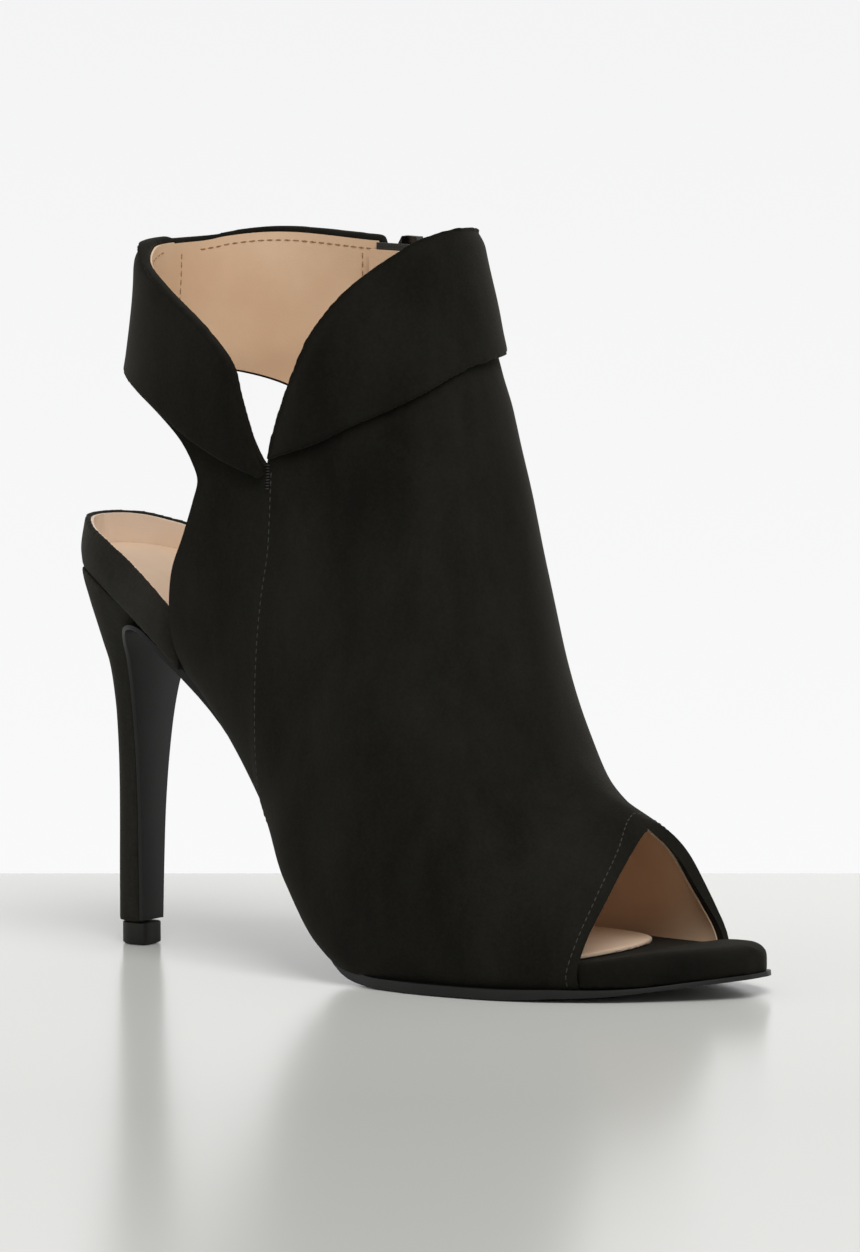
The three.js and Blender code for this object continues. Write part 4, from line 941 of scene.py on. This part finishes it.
way = np.gradient(stations[:, :2], axis=0)
way /= np.linalg.norm(way, axis=1, keepdims=True)
worn = stations[:, :2] + np.column_stack((-way[:, 1], way[:, 0])) * stations[:, 4:5]


def ring_of(i):
    (x, z), (low_x, low_z) = stations[i, :2], worn[i]
    outer_y, inner_y = stations[i, 2:4]
    return [(x, outer_y, z), (x, inner_y, z), (low_x, inner_y, low_z), (low_x, outer_y, low_z)]


sole = rolled("sole", np.array([ring_of(i) for i in range(len(stations))]))
shared(sole, below_bed(-0.2))
modify(sole, "BEVEL", width=0.45 * MM, segments=3, limit_method="ANGLE", angle_limit=math.radians(45))
finish_piece(sole, sole_sheet, "outsole_sheet", "sole_sheet", "outsole")

# %% [markdown]
# ## Heel and top piece
# A stiletto heel is an ABS core covered in suede at its back and sides. Level by level it is round behind and
# flat at the breast, and it flares into the seat. The small top piece at its foot is replaceable.

# %% Plan of the heel seat
seat_side = through([(along * LENGTH, half * BALL) for along, half in SEAT], 8)
seat_loop = np.vstack((seat_side * (1, -1), seat_side[::-1]))
counter_rise = column(COUNTER[:, 0] * LENGTH, COUNTER[:, 1] * 12)
OPEN_X = HEEL_OPENING[1][0] * LENGTH


def seat_block(inset):
    return block("seat", moved(seat_loop, -inset), 2, -HIGH, HIGH)


# %% Heel and top piece
def heel_ring(back_x, front_x, half, z, around=96):
    middle = back_x + (front_x - back_x) * 0.6
    angle = np.linspace(0, 2 * np.pi, around, endpoint=False)
    along, aside = -np.cos(angle), np.sin(angle)
    power = np.where(along < 0, 2.2, 4.5)
    reach = np.where(along < 0, middle - back_x, front_x - middle)
    share = (np.abs(along / reach) ** power + np.abs(aside / half) ** power) ** (-1 / power)
    return np.column_stack((middle + along * share, aside * share, np.full(around, z)))


heel_back, heel_front, heel_half = (column(HEEL_BLOCK[:, 0], HEEL_BLOCK[:, i]) for i in (1, 2, 3))
FOOT = 6.1


def heel_level(rise):
    back_x, front_x = heel_back(rise) * LENGTH, heel_front(rise) * LENGTH
    return heel_ring(back_x, front_x, heel_half(rise) * BALL, FOOT + (HEEL - FOOT) * rise)


heel = rolled("heel", np.array([heel_level(rise) for rise in np.linspace(0, 1.03, 70)]))
first = len(strip) - 6
path = stations[first:, :2] - np.column_stack((-way[first:, 1], way[first:, 0])) * 0.1
cut(heel, side_block([*path, (path[-1][0], -HIGH), (2 * LENGTH, -HIGH), (2 * LENGTH, path[0][1])]))
shared(heel, below_bed(-0.2))
shared(heel, seat_block(0))
soften(heel, 0.7, 4)
# the heel is dressed in the lighter mixture of the suede, which is painted light
finish_piece(heel, heel_suede_painted_light, "heel_suede_painted_light", "suede", "heel")

# The top piece: height of each ring and how far it is drawn in, which rounds both its edges
tip_rings = [(0.0, 0.5), (0.35, 0.05), (0.5, 0), (2.6, 0), (5.4, 0), (5.6, 0.05), (5.8, 0.4)]
DRAWN_IN, FURTHER_FORWARD = 0.7, 1.2
tip_back, tip_half = 0.0415 * LENGTH + DRAWN_IN, 0.063 * BALL - DRAWN_IN
tip_front = 0.085 * LENGTH + FURTHER_FORWARD - DRAWN_IN
tip = rolled(
    "tip", np.array([heel_ring(tip_back + i, tip_front - i, tip_half - i, z) for z, i in tip_rings])
)
finish_piece(tip, top_piece_rubber, "heel_top_piece", "top_piece", "heel_tip")

# %% [markdown]
# ## Heel seat, insole board and sock
# The board and its padding fill the bottom of the boot. Where they show, they are covered: in black suede at
# the toe and in a low suede wall round the heel, and everywhere else by the beige sock. The wall leans in
# towards its top, and a beige facing lines it. The padding at the toe is a pillow: it falls off towards its
# edge, and that edge gets many more smoothing steps than the rest.

# %% Heel seat
cup = seat_block(0)
shared(cup, below_bed(lambda x: counter_rise(x)))
cut(cup, below_bed(-0.1))
cut(cup, cut(seat_block(1.6), below_bed(1.2)))
shared(cup, heel_opening(-0.2))
soften(cup, 0.6, 6)


MIDDLE_OF_SEAT = 25


def lean(obj):
    """The wall leans in towards its top and is drawn in a little at its foot."""
    points, _ = points_of(obj)
    above = points[:, 2] - bed(points[:, 0])
    middle_x = np.minimum(points[:, 0], MIDDLE_OF_SEAT)
    outwards = points[:, :2] - np.column_stack((middle_x, np.zeros(len(points))))
    outwards /= np.maximum(np.linalg.norm(outwards, axis=1, keepdims=True), 1)
    inwards = 2.0 * smooth_step(above, 4, 14) + 0.6 * (1 - smooth_step(above, -0.5, 4))
    points[:, :2] -= outwards * inwards[:, None]
    place_points(obj, points)


lean(cup)
# the cup too is in the lighter mixture of the suede: painted light
finish_piece(cup, heel_suede_painted_light, "heel_cup_suede", "suede", "heel_cup")

facing = cut(seat_block(1.5), seat_block(2.25))
shared(facing, below_bed(lambda x: counter_rise(x) - 0.6))
cut(facing, below_bed(1.6))
shared(facing, heel_opening(-0.2))
lean(facing)
# its paler leather is painted light
finish_piece(facing, facing_leather_painted_light, "heel_cup_facing", "lining")

# %% Board and sock
sole_loop = np.vstack((np.column_stack((sole_x, strip[:, 3])), np.column_stack((sole_x, strip[:, 2]))[::-1]))
sole_loop = sole_loop[1:]


def room(gap):
    inside = rolled("room", grown_form(-2.2 - gap))
    in_seat = seat_block(2 + gap)
    at_seat = shared(copy_of(inside), in_seat, keep=True)
    cut(in_seat, half_box(OPEN_X - 0.3, 2 * LENGTH, -WIDE, WIDE))
    toe = shared(block("toe", moved(sole_loop, -0.7 - gap), 2, -HIGH, HIGH), peep_cut(-0.3))
    cut(inside, half_box(-LENGTH, OPEN_X + 1.5, -WIDE, WIDE))
    for piece in (at_seat, in_seat, toe):
        combine(inside, piece, "UNION")
    return inside


board_height = column(np.array([0.4, 0.58, 0.82, 0.89, 0.95, 1]) * LENGTH, [2.4, 6, 6.2, 7.3, 6.8, 5.2])
board = room(0.3)
shared(board, below_bed(lambda x: board_height(x)))
cut(board, below_bed(lambda x: np.where(x < OPEN_X, 1.3, -sunk_at_toe(x / LENGTH))))
soften(board, 0.8, 3)
pillow = board.vertex_groups.new(name="pillow")
points, normals = points_of(board)
at_toe = smooth_step(points[:, 0], 168, 182) * (points[:, 2] > bed(points[:, 0]) + 1.2)
for i in np.flatnonzero(at_toe > 0.02):
    pillow.add([int(i)], float(at_toe[i]), "REPLACE")
edge_distance = from_line(points * (1, 1, 0), np.column_stack((sole_loop, np.zeros(len(sole_loop)))))[0] - 1
fall = 1 - np.sqrt(1 - (1 - np.clip(edge_distance / 5.5, 0, 1)) ** 2)
base = bed(points[:, 0])
points[:, 2] -= np.clip(points[:, 2] - base, 0, 9) * 0.42 * fall * smooth_step(points[:, 0], 160, 184)
place_points(board, points)
modify(board, "SMOOTH", factor=0.5, iterations=12, vertex_group="pillow")
# the board is in the darker mixture of the suede: painted shade
finish_piece(board, toe_suede_painted_shade, "insole_board_suede", "suede", "insole_board")

sock = room(0.8)
sock_edge = through([(along * LENGTH, side * BALL) for along, side in SOCK_FRONT])
shared(sock, block("front", [(-LENGTH, -WIDE), *sock_edge, (-LENGTH, WIDE)], 2, -HIGH, HIGH))
shared(sock, below_bed(lambda x: board_height(x) + 1.5))
cut(sock, below_bed(lambda x: board_height(x) + 0.15))
soften(sock, 0.6, 4)
finish_piece(sock, sock_leather, "sock_leather", "lining", "sock")

# %% [markdown]
# ## Zip
# The zip is behind its slot on the inner side: two woven tapes, a nylon coil of small turns, and a leather
# guard behind that keeps it off the ankle. One turn of the coil is modelled and copied down both rows. The
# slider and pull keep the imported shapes, with their edges rounded.

# %% Zip
def layer(low, high):
    made = rolled("layer", grown_form(high))
    cut(made, rolled("inside", grown_form(low)))
    return cut(made, below_bed(lambda x: board_height(x) + 1.8))


TAPE_TOP = HEEL + (ZIP_TOP[1] - 0.022) * SHAFT
tape = shared(layer(-3.5, -2.5), zip_strip(10, TAPE_TOP, 7.5))
finish_piece(tape, zip_textile, "zip_tape_woven", "zip_textile", "zip_tape")
guard = shared(layer(-4.7, -3.8), zip_strip(11.5, TAPE_TOP - 1.8, 8.5))
finish_piece(guard, lining_leather, "zip_guard_leather", "lining", "zip_guard")

for name in ("zip_slider", "zip_pull"):
    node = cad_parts[name]
    weld = node.modifiers.new("weld", "WELD")
    weld.merge_threshold = 1e-6
    bevel = node.modifiers.new("bevel", "BEVEL")
    bevel.width, bevel.segments, bevel.angle_limit = 0.18 * MM, 2, math.radians(30)
    for material_slot in node.material_slots:
        material_slot.material = zip_metal
print("zip tape top at", round(TAPE_TOP, 1), "mm")


# %% Repeats
def hit(tree, start_mm, way):
    start = Vector((np.asarray(start_mm, float) + ORIGIN) * MM)
    place, normal, _, _ = tree.ray_cast(start, Vector(way).normalized())
    if place is None:
        return None
    return np.array(place) / MM - ORIGIN, np.array(normal)


def evenly(points, normals, step):
    """The same line with its points a fixed distance apart."""
    points, normals = np.array(points), np.array(normals)
    far = np.append(0, np.cumsum(np.linalg.norm(np.diff(points, axis=0), axis=1)))
    at = np.arange(step / 2, far[-1], step)
    place = np.column_stack([np.interp(at, far, points[:, i]) for i in range(3)])
    normal = np.column_stack([np.interp(at, far, normals[:, i]) for i in range(3)])
    ahead = np.column_stack([np.interp(at + 0.2, far, points[:, i]) for i in range(3)])
    before = np.column_stack([np.interp(at - 0.2, far, points[:, i]) for i in range(3)])
    return place, normal / np.linalg.norm(normal, axis=1, keepdims=True), ahead - before


def repeat(pattern, name, places, material, slot, *nodes):
    """Copies of a small pattern, which lies along X with Z outwards, each with its own mesh, joined."""
    bpy.ops.object.select_all(action="DESELECT")
    copies = []
    for place, normal, way in places:
        z = Vector(normal).normalized()
        x = (Vector(way) - z * Vector(way).dot(z)).normalized()
        twin = copy_of(pattern)
        turn = Matrix((x, z.cross(x), z)).transposed().to_4x4()
        twin.data.transform(Matrix.Translation(Vector((np.asarray(place) + ORIGIN) * MM)) @ turn)
        copies.append(twin)
    for twin in copies:
        twin.select_set(True)
    bpy.context.view_layer.objects.active = copies[0]
    bpy.ops.object.join()
    return finish_piece(bpy.context.object, material, name, slot, *nodes)


def small_capsule(long, wide, high, name="pattern"):
    """A stitch or a tooth: a low ball, pulled long."""
    bpy.ops.object.select_all(action="DESELECT")
    bpy.ops.mesh.primitive_uv_sphere_add(segments=8, ring_count=5, radius=0.5)
    obj = bpy.context.object
    obj.name = name
    in_edit(
        lambda: bpy.ops.transform.rotate(value=math.pi / 2, orient_axis="Y", center_override=(0, 0, 0)),
        lambda: bpy.ops.transform.resize(value=(long * MM, wide * MM, high * MM)),
    )
    return obj


# %% [markdown]
# ## Coil, stitches and bar tack
# A machine stitch is a short thread that dips into the suede at both ends, about 2 mm from the next. Rows run
# beside the seam, round the toe's edge, along both sides of the zip, and in tan thread inside the collar. A
# bar tack of close stitches holds the bottom of the notch.

# %% Coil
coil = shared(layer(-2.2, -1.55), zip_strip(2.0, TAPE_TOP - 1, 2))
finish_piece(coil, zip_nylon, "zip_coil_core", "zip_nylon", "zip_coil")
coil_tree = surface_of(coil)
turn_of_coil = small_capsule(2.5, 0.8, 0.9)
(tx, tz), (kx, kz), (fx, fz) = zip_at(ZIP_TOP), zip_at(ZIP_KNEE), zip_at(ZIP_FOOT)
teeth = []
for n, z in enumerate(np.arange(fz - 1.0, TAPE_TOP - 1.6, 0.75)):
    x = np.interp(z, [fz, kz, tz], [fx, kx, tx]) + (1.1 if n % 2 else -1.1)
    found = hit(coil_tree, (x, 80, z), (0, -1, 0))
    if found:
        teeth.append((found[0] + found[1] * 0.05, found[1], (1, 0, 0.15)))
repeat(turn_of_coil, "zip_coil_turns", teeth, zip_nylon, "zip_nylon")

# %% Stitches
upper_tree, lining_tree = surface_of(upper), surface_of(lining)
stitch = small_capsule(1.5, 0.42, 0.4)
tan_stitch = small_capsule(1.7, 0.4, 0.34)


def row(tree, starts, ways, step=2.1, sink=0.04):
    """Evenly spaced places along a line that is found by shooting rays at a surface."""
    shots = [(hit(tree, start, way), way) for start, way in zip(starts, ways)]
    found = [h for h, way in shots if h and h[1] @ np.array(way) < 0.05]
    place, normal, way_on = evenly([h[0] for h in found], [h[1] for h in found], step)
    return list(zip(place - normal * sink, normal, way_on))


def on_side(line, side):
    return [(x, side * 90, z) for x, z in line], [(0, -side, 0)] * len(line)


seam_z = np.linspace(131, 12, 120)
places = row(upper_tree, *on_side(np.column_stack((SEAM(seam_z) + 1.3, seam_z)), -1))
low_seam = np.linspace(50, 14, 40)
places += row(upper_tree, *on_side(np.column_stack((np.full(40, 76.9), low_seam)), 1))
# round the toe's edge in one row: up the outer side, over the top and down the inner side
starts, ways = [], []
for side in (-1, 1):
    edge_x = peep_x(side)
    z = 46 - 43 * np.linspace(0, 1, 160)[::side] ** 1.6
    side_starts, side_ways = on_side([(float(edge_x(v)) - 1.5, v) for v in z], side)
    starts, ways = starts + side_starts, ways + side_ways
places += row(upper_tree, starts, ways, 2.0)
# along both sides of the zip, and the bar tack at the bottom of the notch
for side in (-1, 1):
    zip_z = np.linspace(160, fz + 4, 60)
    zip_x = np.interp(zip_z, [fz, kz, tz], [fx, kx, tx]) + side * 7.4
    places += row(upper_tree, *on_side(np.column_stack((zip_x, zip_z)), 1))
for k in range(9):
    found = hit(upper_tree, (SEAM(126) + 0.4, -90, 132.4 - k * 0.75), (0, 1, 0))
    if found:
        places.append((found[0] + found[1] * 0.1, found[1], (1, 0, 0.1)))
repeat(stitch, "black_stitches", places, black_thread, "suede")



def tan_row(points, way):
    return row(lining_tree, points, [way] * len(points), 2.3, -0.05)


def below_collar(table, low, high):
    edge = moved_line(side_line(table), 3.6)
    return [(x, 0, z) for x, z in edge if low < x < high]


tan_places = tan_row(below_collar(OUTER_COLLAR, 20, 119), (0, -1, 0))
for low, high in ((20, tx - 11), (tx + 11, 119)):
    tan_places += tan_row(below_collar(INNER_COLLAR, low, high), (0, 1, 0))
for x, top in ((tx - 12, 183), (tx - 15, 182), (tx + 12, 184)):
    tan_places += tan_row([(x, 0, z) for z in np.linspace(top, 150, 30)], (0, 1, 0))
tan_places += tan_row([(50, 3, z) for z in np.linspace(182, 153, 30)], (-1, 0, 0))
repeat(tan_stitch, "tan_stitches", tan_places, brown_thread, "lining")
for pattern in (turn_of_coil, stitch, tan_stitch):
    bpy.data.objects.remove(pattern)

# %% [markdown]
# ## Nail in the heel's breast
# One small domed nail holds the flap to the heel, just under its bend.

# %% Nail
nail_place, nail_normal = hit(surface_of(sole), (60, -2.5, 76.2), (-1, 0, 0))
nail = small_capsule(1.3, 1.3, 0.5, "nail")
repeat(nail, "heel_nail", [(nail_place, nail_normal, (0, 1, 0))], top_piece_rubber, "top_piece")
bpy.data.objects.remove(nail)

# %% [markdown]
# ## Table, backdrop and light
# The table is a pale glossy sheet whose back edge shows as a level line behind the boot. Seen this flat it
# mirrors the boot softly. Its colour grows paler towards the back edge: painted light, which evens out the
# table's darkening there. The backdrop is the world itself, nearly white. A wide soft box stands above and
# in front, and a weaker one at the left, so that the suede shows its form and casts almost no shadow.

# %% Table and light
def glossy_table(away):
    material, shader, where = start_material("pale_glossy_laminate", Roughness=0.2, IOR=1.33)
    depth = add(material, "ShaderNodeVectorMath", {0: where, 1: away}, operation="DOT_PRODUCT")
    painted_light_by_depth = {"Value": depth.outputs["Value"], "From Min": -0.25, "From Max": 0.2}
    share = add(material, "ShaderNodeMapRange", painted_light_by_depth)
    # paler towards the back: painted light that evens out the darker back of the table
    join(material, "Base Color", two_tones(material, share.outputs[0], "#dcddd8", "#f8f9f4", 0, 1))
    raise_skin(material, noise(material, where, 14, 2), 0.05, 0.1)
    return material


# all in metres
TABLE_LONG, TABLE_DEEP, TABLE_THICK = 3.2, 1.5, 0.03
BACK_EDGE, BELOW_SHOE = 0.1965, 0.0002


bpy.ops.object.select_all(action="DESELECT")
bpy.ops.mesh.primitive_cube_add(size=1)
table = bpy.context.object
table.name = "table"
away = Vector((-math.sin(TURN), math.cos(TURN), 0))
middle = Vector((*FLOOR_POINT, 0)) * MM + away * (BACK_EDGE - TABLE_DEEP / 2)
table.data.transform(
    Matrix.Translation(middle - Vector((0, 0, TABLE_THICK / 2 + BELOW_SHOE)))
    @ Matrix.Rotation(TURN, 4, "Z")
    @ Matrix.Diagonal((TABLE_LONG, TABLE_DEEP, TABLE_THICK, 1))
)
table.data.materials.append(glossy_table(away))
modify(table, "BEVEL", width=1.2 * MM, segments=3)

world = bpy.data.worlds.new("studio")
bpy.context.scene.world = world
world.use_nodes = True
backdrop = world.node_tree.nodes["Background"]
outlook = add(world, "ShaderNodeTexCoord").outputs["Generated"]
heading = add(world, "ShaderNodeSeparateXYZ", {"Vector": outlook}).outputs["Z"]
height = add(world, "ShaderNodeMapRange", {"Value": heading, "From Min": -0.13, "From Max": -0.055})
tones = two_tones(world, height.outputs[0], "#fafafb", "#f3f3f3", 0, 1)
world.node_tree.links.new(tones, backdrop.inputs["Color"])
diffuse = add(world, "ShaderNodeLightPath").outputs["Is Diffuse Ray"]
strength = add(world, "ShaderNodeMapRange", {"Value": diffuse, "To Min": 1.0, "To Max": 0.36})
world.node_tree.links.new(strength.outputs[0], backdrop.inputs["Strength"])


def soft_box(name, place_mm, size, power):
    bpy.ops.object.light_add(type="AREA")
    light = bpy.context.object
    light.name = name
    light.data.shape, light.data.size, light.data.energy = "SQUARE", size, power
    place = Vector(place_mm) * MM
    aim = (Vector((0, 0, 90)) * MM - place).to_track_quat("-Z", "Y")
    light.matrix_world = Matrix.Translation(place) @ aim.to_matrix().to_4x4()
    return light


soft_box("soft_box_above", (2000, -1500, 3300), 2.4, 120)
soft_box("soft_box_left", (-2100, -1400, 1500), 1.4, 2)
bpy.context.scene.view_settings.view_transform = "Standard"
print("table edge", [round(v, 3) for v in middle + away * TABLE_DEEP / 2])

# %% [markdown]
# ## Finish

# %% Finish
bpy.context.view_layer.update()
